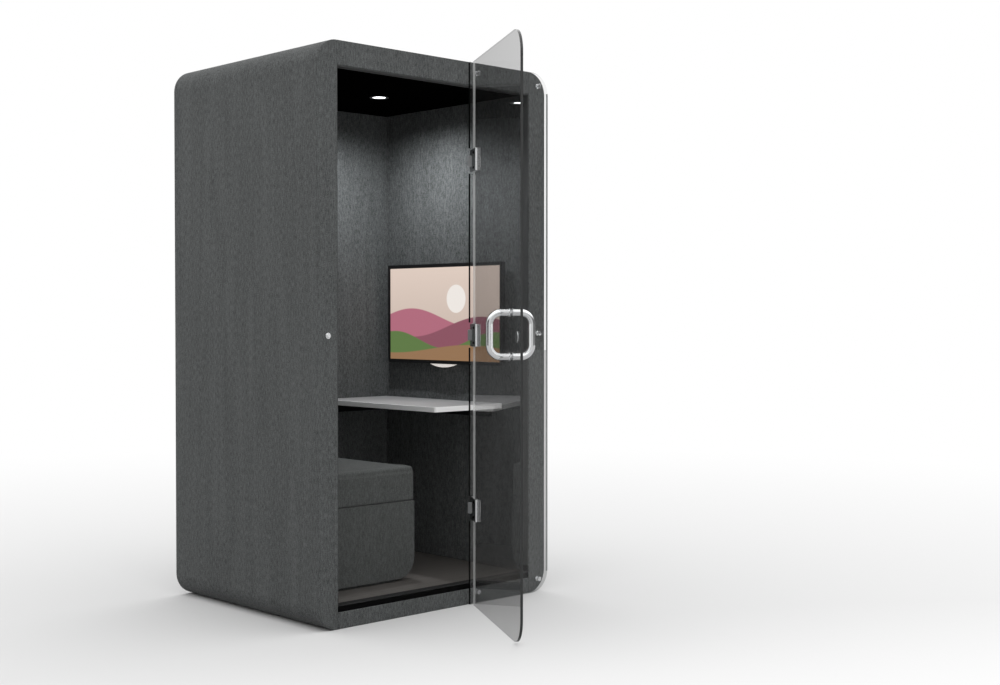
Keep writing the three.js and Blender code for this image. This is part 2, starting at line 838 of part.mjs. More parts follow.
// Door clamp: an arm with a knuckle above and below the fixed body, a plate inside and a cover plate outside
function doorClamp(z) {
  const half = hingeHeight / 2;
  const armStart = half - hingeKnuckleHeight + runningGap;
  const [outer, inner] = clampFaces(doorCoverThickness, doorPlateThickness);
  const webStart = doorPaneX + seamGap;
  const arms = [[-half, -armStart], [armStart, half]].flatMap(([z0, z1]) => [
    bar(hingeKnuckleRadius, hingeX, glassMidY, z + z0, z + z1),
    block([webStart, outer[0], z + z0], [hingeX, inner[1], z + z1]),
  ]);
  const plates = [outer, inner].map(([y0, y1]) => (
    block([hingeX - doorPlateReach, y0, z - half], [webStart + overlap, y1, z + half])
  ));
  return cut(join(...plates, ...arms), pinHole(z));
}

// The bore that a clamp turns on
function pinHole(z) {
  const half = hingeHeight / 2 + overcut;
  return bar(hingePinRadius + runningGap, hingeX, glassMidY, z - half, z + half, smallSides);
}

// A pin with a head at both ends
function hingePin(z) {
  const shank = hingeHeight / 2 + runningGap;
  const end = hingeHeight / 2 + hingePinHead;
  const head = hingePinRadius + hingePinLip;
  const profile = [
    [0, -end],
    [head, -end],
    [head, -shank],
    [hingePinRadius, -shank],
    [hingePinRadius, shank],
    [head, shank],
    [head, end],
    [0, end],
  ];
  return turnedOnZ(profile, hingeX, glassMidY, z, smallSides);
}

// Door pane in its closed place, rounded at its free edge, with the holes of the handle bolts
function doorPane() {
  const edge = wallThickness;
  const outline = roundedRectangle(-halfWidth, doorPaneX, glassBottomZ, glassTopZ, [edge, 0, 0, edge]);
  const hole = handleBoltRadius + handleHoleGap;
  const holes = handleLegHeights().map((z) => (
    barTowardsFront(hole, handleX(), glassInnerY + overcut, glassOuterY - overcut, z, smallSides)
  ));
  addPiece(door, 'door_glass', cut(plateAlongY(outline, glassOuterY, glassInnerY), ...holes), 'glass');
}

function handleX() {
  return -halfWidth + handleInset;
}

function handleLegHeights() {
  const rise = (handleHeight - handleTube) / 2;
  return [midZ + handleRise - rise, midZ + handleRise + rise];
}

// Back-to-back pull handles: a bent tube on each face, joined through the pane by bolts
function pullHandles() {
  const [low, high] = handleLegHeights();
  const reach = handleReach - handleTube / 2;
  const x = handleX();
  const makeHandle = (faceY, towards) => {
    const at = (out, z) => new THREE.Vector3(x, faceY + towards * out, z);
    const start = seamGap + handleFlangeHeight / 2;
    const path = new THREE.CurvePath();
    const bend = Math.min(handleBend, reach - handleFlangeHeight - overlap, (high - low) / 2 - overlap);
    const pull = bend * (1 - quarterArcPull);
    path.add(new THREE.LineCurve3(at(start, low), at(reach - bend, low)));
    path.add(new THREE.CubicBezierCurve3(
      at(reach - bend, low), at(reach - pull, low), at(reach, low + pull), at(reach, low + bend),
    ));
    path.add(new THREE.LineCurve3(at(reach, low + bend), at(reach, high - bend)));
    path.add(new THREE.CubicBezierCurve3(
      at(reach, high - bend), at(reach, high - pull), at(reach - pull, high), at(reach - bend, high),
    ));
    path.add(new THREE.LineCurve3(at(reach - bend, high), at(start, high)));
    const section = new THREE.Shape();
    section.absarc(0, 0, handleTube / 2, 0, 2 * Math.PI, false);
    const tube = new THREE.ExtrudeGeometry(section, {
      extrudePath: path, steps: tubeSteps, bevelEnabled: false, curveSegments: tubeSides / 2,
    });
    const flanges = [low, high].map((z) => {
      const near = faceY + towards * seamGap;
      const far = faceY + towards * (seamGap + handleFlangeHeight);
      return barTowardsFront(handleFlangeRadius, x, Math.max(near, far), Math.min(near, far), z);
    });
    return join(solidFrom(tube), ...flanges);
  };
  const boltEnd = glassInnerY - seamGap;
  const boltStart = glassOuterY - seamGap - overlap;
  const bolts = [low, high].map((z) => (
    barTowardsFront(handleBoltRadius, x, boltEnd, boltStart, z, smallSides)
  ));
  addPiece(door, 'outer_pull_handle', join(makeHandle(glassOuterY, -1), ...bolts), 'chrome');
  addPiece(door, 'inner_pull_handle', makeHandle(glassInnerY, 1), 'chrome');
}

// Magnetic catch: a stud on the left post meets a steel keeper disc on the door
function doorCatch() {
  const x = -halfWidth + keeperInset;
  const keeperStart = glassInnerY + seamGap + keeperThickness;
  const keeper = barTowardsFront(keeperRadius, x, keeperStart, glassInnerY + seamGap, midZ);
  addPiece(door, 'door_keeper_disc', keeper, 'chrome');
  const tip = frontY - keeperStart - catchAirGap;
  const profile = [
    [0, seamGap],
    [catchBaseRadius, seamGap],
    [catchBaseRadius, seamGap + catchBaseHeight],
    [catchMagnetRadius, seamGap + catchBaseHeight],
    [catchMagnetRadius, tip],
    [0, tip],
  ];
  addPiece(pod, 'catch_stud', turnedTowardsFront(profile, x, frontY, midZ, smallSides), 'chrome');
}

// Round grille: a flanged spigot crossed by bars, pointing down or up
function grille(name, z, towards) {
  const bore = fanBore();
  const inner = bore - grilleWall;
  const flange = bore + grilleFlange;
  const flangeFace = z + towards * (seamGap + grilleFlangeHeight);
  const flangeBack = z + towards * seamGap;
  const spigotEnd = z - towards * grilleDepth;
  const span = (a, b, radius) => bar(radius, fanX, fanY, Math.min(a, b), Math.max(a, b));
  const ring = cut(
    join(span(flangeFace, flangeBack, flange), span(flangeFace, spigotEnd, bore)),
    bar(inner, fanX, fanY, z - 2 * grilleDepth, z + 2 * grilleDepth),
  );
  const pitch = 2 * inner / (grilleBarCount + 1);
  const bars = Array.from({ length: grilleBarCount }, (_, index) => {
    const x = fanX - inner + pitch * (index + 1);
    const half = Math.sqrt(inner * inner - (x - fanX) * (x - fanX)) + grilleWall / 2;
    return block(
      [x - grilleBarWidth / 2, fanY - half, Math.min(flangeFace, spigotEnd)],
      [x + grilleBarWidth / 2, fanY + half, Math.max(flangeFace, spigotEnd)],
    );
  });
  addPiece(pod, name, join(ring, ...bars), 'black');
}

// Fan: a square frame with a motor stub on four struts, and a bladed rotor on its shaft
function fan() {
  const bottom = ceilingTopZ + seamGap;
  const top = bottom + fanDepth;
  const half = fanSize / 2;
  const bore = half - fanFrameWall;
  const corners = Array(4).fill(fanCornerRadius);
  const outline = roundedRectangle(fanX - half, fanX + half, fanY - half, fanY + half, corners);
  const frame = cut(
    plateAlongZ(outline, bottom, top),
    bar(bore, fanX, fanY, bottom - overcut, top + overcut),
  );
  const strutTop = bottom + fanStrut;
  const strut = (reachX, reachY) => block(
    [fanX - reachX, fanY - reachY, bottom],
    [fanX + reachX, fanY + reachY, strutTop],
  );
  const struts = [strut(bore + overlap, fanStrut / 2), strut(fanStrut / 2, bore + overlap)];
  const motor = bar(fanHubRadius - overlap, fanX, fanY, bottom, strutTop);
  const shaftTop = top - fanStrut;
  const shaft = bar(fanShaftRadius, fanX, fanY, bottom, shaftTop, smallSides);
  addPiece(pod, 'fan_frame', join(frame, ...struts, motor, shaft), 'black');
  addPiece(pod, 'fan_rotor', fanRotor(strutTop + runningGap, top - runningGap, shaftTop, bore), 'black');
}

// Rotor: a hub bored for the shaft, and pitched blades cut off round at their tips
function fanRotor(bottom, top, shaftTop, frameBore) {
  const hub = cut(
    bar(fanHubRadius, fanX, fanY, bottom, top),
    bar(fanShaftRadius + runningGap, fanX, fanY, bottom - overcut, shaftTop + runningGap, smallSides),
  );
  const sweep = bar(frameBore - fanTipGap, fanX, fanY, bottom, top);
  const rootRadius = fanHubRadius - fanBladeRoot;
  const length = frameBore - rootRadius;
  const blades = Array.from({ length: fanBladeCount }, (_, index) => {
    const blade = new THREE.BoxGeometry(length, fanBladeChord, fanBladeThickness);
    blade.rotateX(THREE.MathUtils.degToRad(fanBladePitch));
    blade.translate(rootRadius + length / 2, 0, (bottom + top) / 2);
    blade.rotateZ(index * 2 * Math.PI / fanBladeCount);
    blade.translate(fanX, fanY, 0);
    return solidFrom(blade).intersect(sweep);
  });
  return join(hub, ...blades);
}

// Downlight: a flanged trim ring in the ceiling, a lens in it and a can above
function downlight() {
  const ring = lampRadius - lampWall;
  const flangeBottom = ceilingZ - seamGap - lampWall;
  const flange = bar(lampRadius + lampFlange, lampX, lampY, flangeBottom, ceilingZ - seamGap);
  const spigot = bar(lampRadius, lampX, lampY, flangeBottom, ceilingTopZ + lampSpigot);
  const bore = bar(ring, lampX, lampY, flangeBottom - overcut, ceilingTopZ + lampSpigot + overcut);
  addPiece(pod, 'downlight_trim', cut(join(flange, spigot), bore), 'tableWhite');
  const lens = bar(ring - seamGap, lampX, lampY, ceilingZ, ceilingZ + lampLensThickness);
  addPiece(pod, 'downlight_lens', lens, 'lamp');
  const canBottom = ceilingTopZ + lampSpigot + seamGap;
  const can = cut(
    bar(lampRadius, lampX, lampY, canBottom, canBottom + lampCanHeight),
    bar(ring, lampX, lampY, canBottom - overcut, canBottom + lampCanHeight - lampWall),
  );
  addPiece(pod, 'downlight_can', can, 'steel');
}

// Driver of the lamp and the fan, screwed to the ceiling board by its two ears
function driver() {
  const z0 = ceilingTopZ + seamGap;
  const half = driverLength / 2;
  const width = driverWidth / 2;
  const body = block(
    [driverX - half, driverY - width, z0],
    [driverX + half, driverY + width, z0 + driverHeight],
  );
  const ears = block(
    [driverX - half - driverEar, driverY - width / 2, z0],
    [driverX + half + driverEar, driverY + width / 2, z0 + driverEarHeight],
  );
  addPiece(pod, 'driver_box', join(body, ears), 'tableWhite');
}

sideWall('left', -1);
sideWall('right', 1);
backWall();
mainsInlet();
roof();
ceilingBoard();
baseFrame();
levellingFeet();
floorAndSill();
doorwaySeal();
bench();
table();
screen();
fixedPane();
hinges();
doorPane();
pullHandles();
doorCatch();
grille('ceiling_grille', ceilingZ, -1);
grille('roof_grille', podHeight, 1);
fan();
downlight();
driver();

// The door group turns about the hinge pins, and stands open at rest
const swing = new THREE.Group();
swing.position.set(hingeX, glassMidY, 0);
swing.rotation.z = THREE.MathUtils.degToRad(doorRestAngle);
door.position.set(-hingeX, -glassMidY, 0);
swing.add(door);
pod.add(swing);

export default pod;
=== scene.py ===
import json
import math

import bmesh
import bpy
from bpy.props import FloatProperty, FloatVectorProperty, IntProperty, PointerProperty
from mathutils import Matrix, Vector

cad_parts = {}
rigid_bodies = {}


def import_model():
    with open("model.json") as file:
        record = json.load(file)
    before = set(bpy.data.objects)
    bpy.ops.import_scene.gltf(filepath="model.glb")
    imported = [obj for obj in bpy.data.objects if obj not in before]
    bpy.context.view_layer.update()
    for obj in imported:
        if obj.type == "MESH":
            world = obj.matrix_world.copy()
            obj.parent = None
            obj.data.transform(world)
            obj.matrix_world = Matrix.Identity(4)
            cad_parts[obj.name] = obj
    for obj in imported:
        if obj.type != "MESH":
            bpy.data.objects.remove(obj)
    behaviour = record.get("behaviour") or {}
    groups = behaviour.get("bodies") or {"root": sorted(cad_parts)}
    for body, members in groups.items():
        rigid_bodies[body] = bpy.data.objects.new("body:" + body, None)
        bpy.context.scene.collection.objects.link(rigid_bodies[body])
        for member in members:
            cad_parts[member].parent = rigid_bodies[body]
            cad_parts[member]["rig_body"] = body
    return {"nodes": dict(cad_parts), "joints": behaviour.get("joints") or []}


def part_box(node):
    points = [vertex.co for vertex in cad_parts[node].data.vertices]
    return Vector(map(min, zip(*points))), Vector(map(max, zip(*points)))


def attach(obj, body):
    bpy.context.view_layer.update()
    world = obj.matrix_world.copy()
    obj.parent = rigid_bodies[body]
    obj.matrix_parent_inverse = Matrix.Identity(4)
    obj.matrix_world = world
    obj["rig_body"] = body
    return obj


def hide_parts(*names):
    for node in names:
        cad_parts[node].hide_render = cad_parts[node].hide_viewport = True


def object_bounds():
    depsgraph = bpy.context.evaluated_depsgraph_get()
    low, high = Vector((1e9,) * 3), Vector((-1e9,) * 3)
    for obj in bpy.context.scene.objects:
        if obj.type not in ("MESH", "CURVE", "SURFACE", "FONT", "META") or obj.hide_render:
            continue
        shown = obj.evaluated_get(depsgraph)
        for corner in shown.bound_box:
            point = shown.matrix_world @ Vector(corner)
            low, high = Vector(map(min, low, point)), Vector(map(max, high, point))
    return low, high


bl_info = {
    "name": "Acoustic office pod",
    "version": (1, 0, 0),
    "blender": (4, 5, 0),
    "location": "View3D > Sidebar > Pod",
    "description": "Dresses a one-person acoustic pod in fabric, laminate, glass and chrome",
    "category": "Object",
}

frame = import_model()
nodes = frame["nodes"]
cad_low, cad_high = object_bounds()
door_joint = next(joint for joint in frame["joints"] if joint["name"] == "door_hinge")
door_swing = math.radians(-door_joint["range_deg"][0])
hinge_point = Vector(door_joint["pos_m"])
hinge_numbers = range(1, 4)


# Sizes and colours that a user would change

def length(name, description, default):
    return FloatProperty(name=name, description=description, default=default, min=0.0, unit="LENGTH")


def coordinate(name, description, default):
    return FloatProperty(name=name, description=description, default=default, unit="LENGTH")


def ratio(name, description, default):
    return FloatProperty(name=name, description=description, default=default)


def angle(name, description, degrees):
    return FloatProperty(name=name, description=description, default=math.radians(degrees), subtype="ANGLE")


def count(name, description, default):
    return IntProperty(name=name, description=description, default=default, min=3)


def from_screen(value):
    """The linear value of a colour channel that a screen shows as value out of 255"""
    share = value / 255
    return share / 12.92 if share <= 0.04045 else ((share + 0.055) / 1.055) ** 2.4


def colour(name, description, red, green, blue):
    linear = [from_screen(channel) for channel in (red, green, blue)]
    return FloatVectorProperty(
        name=name, description=description, default=linear, size=3, min=0.0, max=1.0, subtype="COLOR"
    )


class PodSizes(bpy.types.PropertyGroup):
    """Sizes of the details that are added to the solids"""

    fabric_edge: length("Fabric edge", "Radius of an edge wrapped in wall fabric", 0.0025)
    bench_edge: length("Bench edge", "Radius of an edge of the covered bench", 0.003)
    board_edge: length("Board edge", "Radius of an edge of the table and the sill", 0.0015)
    metal_edge: length("Metal edge", "Radius of an edge of the polished metal", 0.0008)
    glass_arris: length("Glass arris", "Width of the ground arris on the glass", 0.0012)
    plastic_edge: length("Plastic edge", "Radius of an edge of a moulded cover", 0.001)
    glass_clearance: length("Glass clearance", "Gap between a fitting and the glass", 0.0003)
    sill_seal_height: length("Sill seal height", "Height of the seal's black run along the sill", 0.03)
    cushion_voxel: length("Cushion mesh", "Mesh size of the cushion before it is inflated", 0.006)
    cushion_slack: length("Cushion slack", "How much smaller the cushion is before it is inflated", 0.0008)
    cushion_round: length("Cushion rounding", "Edge radius of the cushion before it is inflated", 0.008)
    cushion_free: length("Cushion cover", "Height of the cover over the part that the foam holds", 0.022)
    cushion_swell: length("Cushion swell", "The most that the cushion's cover may move", 0.005)
    handle_tube: length("Handle tube", "Diameter of the bent handle tube", 0.026)
    handle_reach: length("Handle reach", "How far a handle stands off the glass", 0.088)
    handle_height: length("Handle height", "Height over the bent handle", 0.187)
    handle_bend: length("Handle bend", "Bend radius at the middle of the handle tube", 0.042)
    handle_inset: length("Handle inset", "From the door's free edge to the handle", 0.158)
    handle_start: length("Handle start", "Gap between the glass and the end of a handle's tube", 0.001)
    flange_radius: length("Handle flange", "Radius of the flange at a handle's foot", 0.017)
    flange_thickness: length("Flange thickness", "Thickness of the flange at a handle's foot", 0.004)
    bolt_radius: length("Handle bolt", "Radius of the bolts that join the handles", 0.005)
    screw_radius: length("Screw head", "Radius of a hinge screw's head", 0.006)
    fixed_screw: length("Fixed screw", "From a hinge pin to the screws of the fixed clamp", 0.0215)
    fixed_face: length("Fixed face", "From the middle of the glass to the face of a fixed clamp", 0.0133)
    fixed_rise: length("Fixed rise", "From the middle of a hinge to the screws of the fixed clamp", 0.0105)
    door_screw: length("Door screw", "From a hinge pin to the screws of the door clamp", 0.058)
    door_inner_face: length("Door plate", "From the glass's middle to a door clamp's inner face", 0.0123)
    door_outer_face: length("Door cover", "From the glass's middle to a door clamp's outer face", 0.0083)
    door_rise: length("Door rise", "From the middle of a hinge to the screws of the door clamp", 0.03)
    round_sides: count("Round sides", "Facets round a turned piece", 48)
    camera_x: coordinate("Camera X", "Camera place to the right of the pod's middle", -3.7037)
    camera_y: coordinate("Camera Y", "Camera place behind the pod's middle", -4.7067)
    camera_height: length("Camera height", "Camera height over the floor", 1.1835)
    camera_turn: angle("Camera turn", "Turn of the view to the right of straight on", 43.846)
    camera_tilt: angle("Camera tilt", "Tilt of the view below level", 1.132)
    lens: FloatProperty(name="Lens", description="Focal length in mm", default=50.472, unit="CAMERA")
    lamp_power: FloatProperty(name="Lamp power", description="Downlight's power", default=61.0, unit="POWER")
    lamp_spread: angle("Lamp spread", "Angle of the downlight's beam", 165)
    lamp_blend: ratio("Lamp blend", "Softness of the beam's edge", 0.75)
    sky_strength: ratio("Sky strength", "Strength of the light from above", 1.55)
    sky_left: ratio("Sky left", "Strength of the low light from the left", 0.8)
    sky_right: ratio("Sky right", "Strength of the low light from the right", 0.12)
    sky_gap: ratio("Sky gap", "Half of the dark gap in the light on the left", 0.37)
    sky_turn: ratio("Sky turn", "Where the low light fades, left to right", -0.1)
    sky_edge: ratio("Sky edge", "Height at which the light from above starts", 0.4)
    sky_lean: ratio("Sky lean", "How much stronger the light is on the right", 0.2)
    floor_size: length("Floor size", "Side of the studio floor", 60.0)


class PodColours(bpy.types.PropertyGroup):
    """Colours of the finishes"""

    wall_fabric: colour("Wall fabric", "Heathered grey wall cloth", 81, 83, 83)
    seat_fabric: colour("Seat fabric", "Heathered grey seat cloth", 77, 79, 78)
    core: colour("Acoustic core", "Pressed mineral wool", 150, 143, 122)
    ceiling: colour("Ceiling", "Black ceiling felt", 4, 4, 4)
    board: colour("Base board", "Chipboard of the base", 164, 137, 104)
    floor: colour("Floor laminate", "Dark brown laminate", 86, 83, 80)
    sill: colour("Sill", "Black sill", 8, 8, 8)
    # The seal's grey on the jambs and the head is painted light on the black rubber, standing in for light
    # that falls there
    seal: colour("Seal", "Grey rubber of the doorway seal on the jambs and the head", 58, 59, 59)
    sill_seal: colour("Sill seal", "Black rubber of the doorway seal along the sill", 10, 10, 10)
    blackened: colour("Blackened steel", "Blackened hinge screws", 16, 16, 16)
    table: colour("Table", "Light grey laminate", 159, 159, 159)
    # The edge band's colour is partly its own white and partly painted light, which makes the sides as
    # bright as the lit front edges
    table_band_painted_light: colour("Table edge", "White edge band of the table", 240, 240, 239)
    glass: colour("Glass", "Clear glass", 254, 254, 254)
    # The two dark glass edge colours below are painted reflection: they stand in for the dark cabin that a
    # glass edge mirrors when seen edge-on
    glass_edge: colour("Glass edge", "Blackened edge of the fixed glass", 6, 7, 7)
    door_edge: colour("Door edge", "Smoked free edge of the door glass", 32, 33, 33)
    fixed_edge: colour("Fixed edge", "Ground edge of the fixed glass", 182, 184, 183)
    ground_edge: colour("Ground edge", "Clear ground edge of the door glass", 240, 241, 240)
    chrome: colour("Chrome", "Polished chrome", 232, 233, 234)
    steel: colour("Steel", "Zinc plated steel", 170, 172, 174)
    cast: colour("Cast metal", "Satin grey of the fixed hinge clamps", 150, 151, 152)
    plastic: colour("Moulded plastic", "Black moulded plastic", 18, 18, 19)
    lamp_trim: colour("Lamp trim", "Grey lamp ring", 70, 70, 70)
    lamp_light: colour("Lamp light", "Light of the downlight", 250, 252, 255)
    screen_wall: colour("Picture, pale", "Pale ground of the picture", 214, 196, 184)
    screen_mauve: colour("Picture, mauve", "Mauve shapes of the picture", 140, 84, 98)
    screen_brown: colour("Picture, brown", "Wood brown of the picture", 150, 116, 84)
    screen_green: colour("Picture, green", "Green of the picture", 96, 122, 70)
    screen_white: colour("Picture, white", "White of the picture", 240, 234, 228)
    driver_case: colour("Driver case", "Case of the lamp driver", 222, 222, 218)
    studio: colour("Studio", "Floor as the camera sees it", 214, 214, 214)
    bounce: colour("Bounce", "Floor as the pod's surfaces see it", 178, 178, 178)


# Node trees of the finishes

class Nodes:
    """A node tree under construction"""

    def __init__(self, owner):
        owner.use_nodes = True
        self.tree = owner.node_tree

    def node(self, kind, inputs=None, **settings):
        made = self.tree.nodes.new(kind)
        for name, value in settings.items():
            setattr(made, name, value)
        for name, value in (inputs or {}).items():
            self.feed(made.inputs[name], value)
        return made

    def feed(self, socket, value):
        if isinstance(value, bpy.types.NodeSocket):
            self.tree.links.new(value, socket)
        else:
            socket.default_value = value

    def math(self, operation, *values):
        made = self.node("ShaderNodeMath", operation=operation)
        for socket, value in zip(made.inputs, values):
            self.feed(socket, value)
        return made.outputs[0]

    def between(self, factor, low, high):
        """A value that follows factor from low to high"""
        made = self.node("ShaderNodeMapRange", {"Value": factor, "To Min": low, "To Max": high})
        return made.outputs["Result"]

    def edge(self, value, at, width):
        """Goes from 0 to 1 as value passes a place, over a soft width"""
        inputs = {"Value": value, "From Min": at - width / 2, "From Max": at + width / 2}
        return self.node("ShaderNodeMapRange", inputs, interpolation_type="SMOOTHSTEP").outputs["Result"]

    def mixed(self, factor, low, high):
        """A colour that follows factor from low to high"""
        made = self.node("ShaderNodeMix", data_type="RGBA")
        self.feed(made.inputs[0], factor)
        for socket, value in zip(made.inputs[6:8], (low, high)):
            self.feed(socket, value if isinstance(value, bpy.types.NodeSocket) else opaque(value))
        return made.outputs[2]

    def tint(self, factor, rgb, low, high):
        """A colour that follows factor from one shade of itself to another"""
        return self.mixed(factor, shade(rgb, low), shade(rgb, high))

    def total(self, *pairs):
        """The sum of some values, each times its weight"""
        parts = [self.math("MULTIPLY", value, weight) for value, weight in pairs]
        result = parts[0]
        for part in parts[1:]:
            result = self.math("ADD", result, part)
        return result

    def blend(self, factor, low, high, output):
        """Sends a mix of two shaders, or of their nodes, to the output"""
        mix = self.node("ShaderNodeMixShader", {"Fac": factor})
        self.feed(mix.inputs[1], low.outputs[0])
        self.feed(mix.inputs[2], high.outputs[0])
        self.feed(output.inputs["Surface"], mix.outputs[0])


class Finish(Nodes):
    """A material under construction: a Principled shader and the nodes that feed it"""

    def __init__(self, name):
        self.material = bpy.data.materials.new(name)
        super().__init__(self.material)
        self.shader = self.tree.nodes["Principled BSDF"]
        self.output = self.tree.nodes["Material Output"]
        self.place = self.node("ShaderNodeTexCoord").outputs["Object"]

    def set(self, **values):
        """Sets the shader's sockets, with _ for a space in the socket's name"""
        for name, value in values.items():
            self.feed(self.shader.inputs[name.replace("_", " ")], value)

    def stretched(self, per_metre):
        return self.node("ShaderNodeMapping", {"Vector": self.place, "Scale": per_metre}).outputs[0]

    def noise(self, per_metre, detail=2.0, distortion=0.0, roughness=0.5):
        """Noise whose grain along each axis is given in cycles per metre"""
        inputs = {
            "Vector": self.stretched(per_metre),
            "Scale": 1.0,
            "Detail": detail,
            "Distortion": distortion,
            "Roughness": roughness,
        }
        return self.node("ShaderNodeTexNoise", inputs).outputs["Fac"]

    def bump(self, height, distance, strength=1.0):
        inputs = {"Height": height, "Distance": distance, "Strength": strength}
        self.feed(self.shader.inputs["Normal"], self.node("ShaderNodeBump", inputs).outputs[0])


def opaque(rgb):
    """A colour with full alpha"""
    return (rgb[0], rgb[1], rgb[2], 1.0)


def shade(rgb, factor):
    """A darker or lighter colour of the same hue"""
    return tuple(min(1.0, channel * factor) for channel in rgb)


def once(make):
    """Lets each finish be made once and shared"""
    def shared(name, *values):
        return bpy.data.materials.get(name) or make(name, *values)
    return shared


@once
def cloth_finish(name, rgb, contrast=1.0):
    """Heathered upholstery cloth: upright yarns, cross yarns, pale flecks and a faint flowing figure"""
    cloth = Finish(name)
    upright = cloth.noise((560, 560, 60), detail=2.0)
    across = cloth.noise((80, 80, 640), detail=2.0)
    fleck = cloth.noise((330, 330, 250), detail=3.0, roughness=0.6)
    streak = cloth.noise((190, 190, 45), detail=3.0, roughness=0.65)
    figure = cloth.noise((16, 16, 1.5), detail=4.0, distortion=1.4)
    yarns = cloth.math("ADD", upright, across)
    tone = cloth.total((yarns, 0.25), (fleck, 0.6), (streak, 0.6), (figure, 0.15))
    tone = cloth.edge(tone, 0.925, 0.5)
    cloth.set(
        Base_Color=cloth.tint(tone, rgb, 1.0 - 0.65 * contrast, 1.0 + 0.7 * contrast),
        Roughness=0.92,
        Sheen_Weight=0.05,
        Sheen_Roughness=0.45,
        Specular_IOR_Level=0.25,
    )
    cloth.bump(cloth.math("ADD", yarns, fleck), 0.0006, 0.5)
    return cloth.material


@once
def core_finish(name, rgb):
    """Pressed mineral wool with loose fibres"""
    wool = Finish(name)
    fibre = wool.noise((180, 900, 180), detail=4.0, distortion=2.0)
    wool.set(Base_Color=wool.tint(fibre, rgb, 0.7, 1.2), Roughness=1.0)
    wool.bump(fibre, 0.002)
    return wool.material


@once
def felt_finish(name, rgb):
    """Black felt of the ceiling"""
    felt = Finish(name)
    fibre = felt.noise((700, 700, 700), detail=4.0)
    felt.set(
        Base_Color=felt.tint(fibre, rgb, 0.6, 1.5),
        Roughness=1.0,
        Specular_IOR_Level=0.0,
    )
    felt.bump(fibre, 0.0006, 0.4)
    return felt.material


@once
def chipboard_finish(name, rgb):
    """Raw chipboard"""
    board = Finish(name)
    chips = board.node("ShaderNodeTexVoronoi", {"Vector": board.stretched((160, 260, 160)), "Scale": 1.0})
    grain = board.noise((90, 400, 90), detail=3.0)
    tone = board.math("MULTIPLY", chips.outputs["Color"], grain)
    board.set(Base_Color=board.tint(tone, rgb, 0.75, 1.25), Roughness=0.85)
    board.bump(grain, 0.0004, 0.4)
    return board.material


@once
def floor_finish(name, rgb):
    """Brown laminate planks with drawn-out wood grain"""
    planks = Finish(name)
    grain = planks.noise((4, 130, 130), detail=6.0, distortion=0.8, roughness=0.6)
    bands = planks.noise((1.1, 11, 11), detail=3.0, distortion=1.5)
    tone = planks.total((grain, 0.55), (bands, 0.45))
    layout = {
        "Vector": planks.place,
        "Scale": 1.0,
        "Mortar Size": 0.0009,
        "Brick Width": 0.72,
        "Row Height": 0.128,
    }
    joints = planks.node("ShaderNodeTexBrick", layout, offset=0.37)
    wood = planks.tint(tone, rgb, 0.6, 1.35)
    planks.set(
        Base_Color=planks.mixed(joints.outputs["Fac"], wood, shade(rgb, 0.2)),
        Roughness=planks.between(grain, 0.42, 0.58),
        Specular_IOR_Level=0.4,
    )
    planks.bump(planks.math("SUBTRACT", grain, joints.outputs["Fac"]), 0.0004, 0.35)
    return planks.material


@once
def coated_finish(name, rgb, gloss=0.12):
    """Satin black coat with a faint orange peel"""
    coat = Finish(name)
    peel = coat.noise((420, 420, 420), detail=1.0)
    cloud = coat.noise((9, 9, 9), detail=3.0)
    coat.set(
        Base_Color=coat.tint(cloud, rgb, 0.85, 1.25),
        Roughness=coat.between(cloud, 0.38, 0.5),
        Specular_IOR_Level=gloss,
    )
    coat.bump(peel, 0.0001, 0.3)
    return coat.material


@once
def rubber_finish(name, rgb):
    """Matt extruded rubber with fine drawing lines"""
    rubber = Finish(name)
    lines = rubber.noise((900, 900, 12), detail=1.0)
    rubber.set(Base_Color=rubber.tint(lines, rgb, 0.8, 1.3), Roughness=0.78)
    rubber.bump(lines, 0.0002, 0.3)
    return rubber.material


@once
def laminate_finish(name, rgb):
    """Light laminate with a fine pearl and speckle"""
    sheet = Finish(name)
    speck = sheet.noise((800, 800, 800), detail=2.0)
    cloud = sheet.noise((7, 7, 7), detail=3.0)
    tone = sheet.total((speck, 0.6), (cloud, 0.4))
    sheet.set(
        Base_Color=sheet.tint(tone, rgb, 0.93, 1.05),
        Roughness=sheet.between(cloud, 0.36, 0.46),
        Specular_IOR_Level=0.4,
    )
    sheet.bump(speck, 0.00008, 0.3)
    return sheet.material


@once
def glass_finish(name, rgb):
    """Clear thin glass: its near face mirrors the room, its far face only takes its share of the light"""
    glass_index = 1.5
    pane = Finish(name)
    pane.set(Base_Color=opaque(rgb), Roughness=0.0, Transmission_Weight=1.0, IOR=1.0)
    pane.set(Coat_Weight=1.0, Coat_Roughness=0.0, Coat_IOR=glass_index)
    path = pane.node("ShaderNodeLightPath").outputs
    lit_through = pane.math("MAXIMUM", path["Is Shadow Ray"], path["Is Diffuse Ray"])
    far_face = pane.node("ShaderNodeNewGeometry").outputs["Backfacing"]
    mirrored = pane.node("ShaderNodeFresnel", {"IOR": 1 / glass_index}).outputs[0]
    lost = pane.math("MULTIPLY", mirrored, pane.math("SUBTRACT", 1.0, lit_through))
    clear = pane.node("ShaderNodeBsdfTransparent", {"Color": pane.mixed(lost, rgb, (0.0, 0.0, 0.0))})
    pane.blend(pane.math("MAXIMUM", lit_through, far_face), pane.shader, clear, pane.output)
    return pane.material


@once
def glass_edge_finish(name, rgb):
    """Ground glass edge, whose dark colours are painted reflection of the dark cabin that an edge seen
    edge-on mirrors
    """
    edge = Finish(name)
    grind = edge.noise((900, 900, 70), detail=2.0)
    edge.set(
        Base_Color=edge.tint(grind, rgb, 0.7, 1.4),
        Roughness=edge.between(grind, 0.16, 0.28),
        Coat_Weight=0.3,
    )
    return edge.material


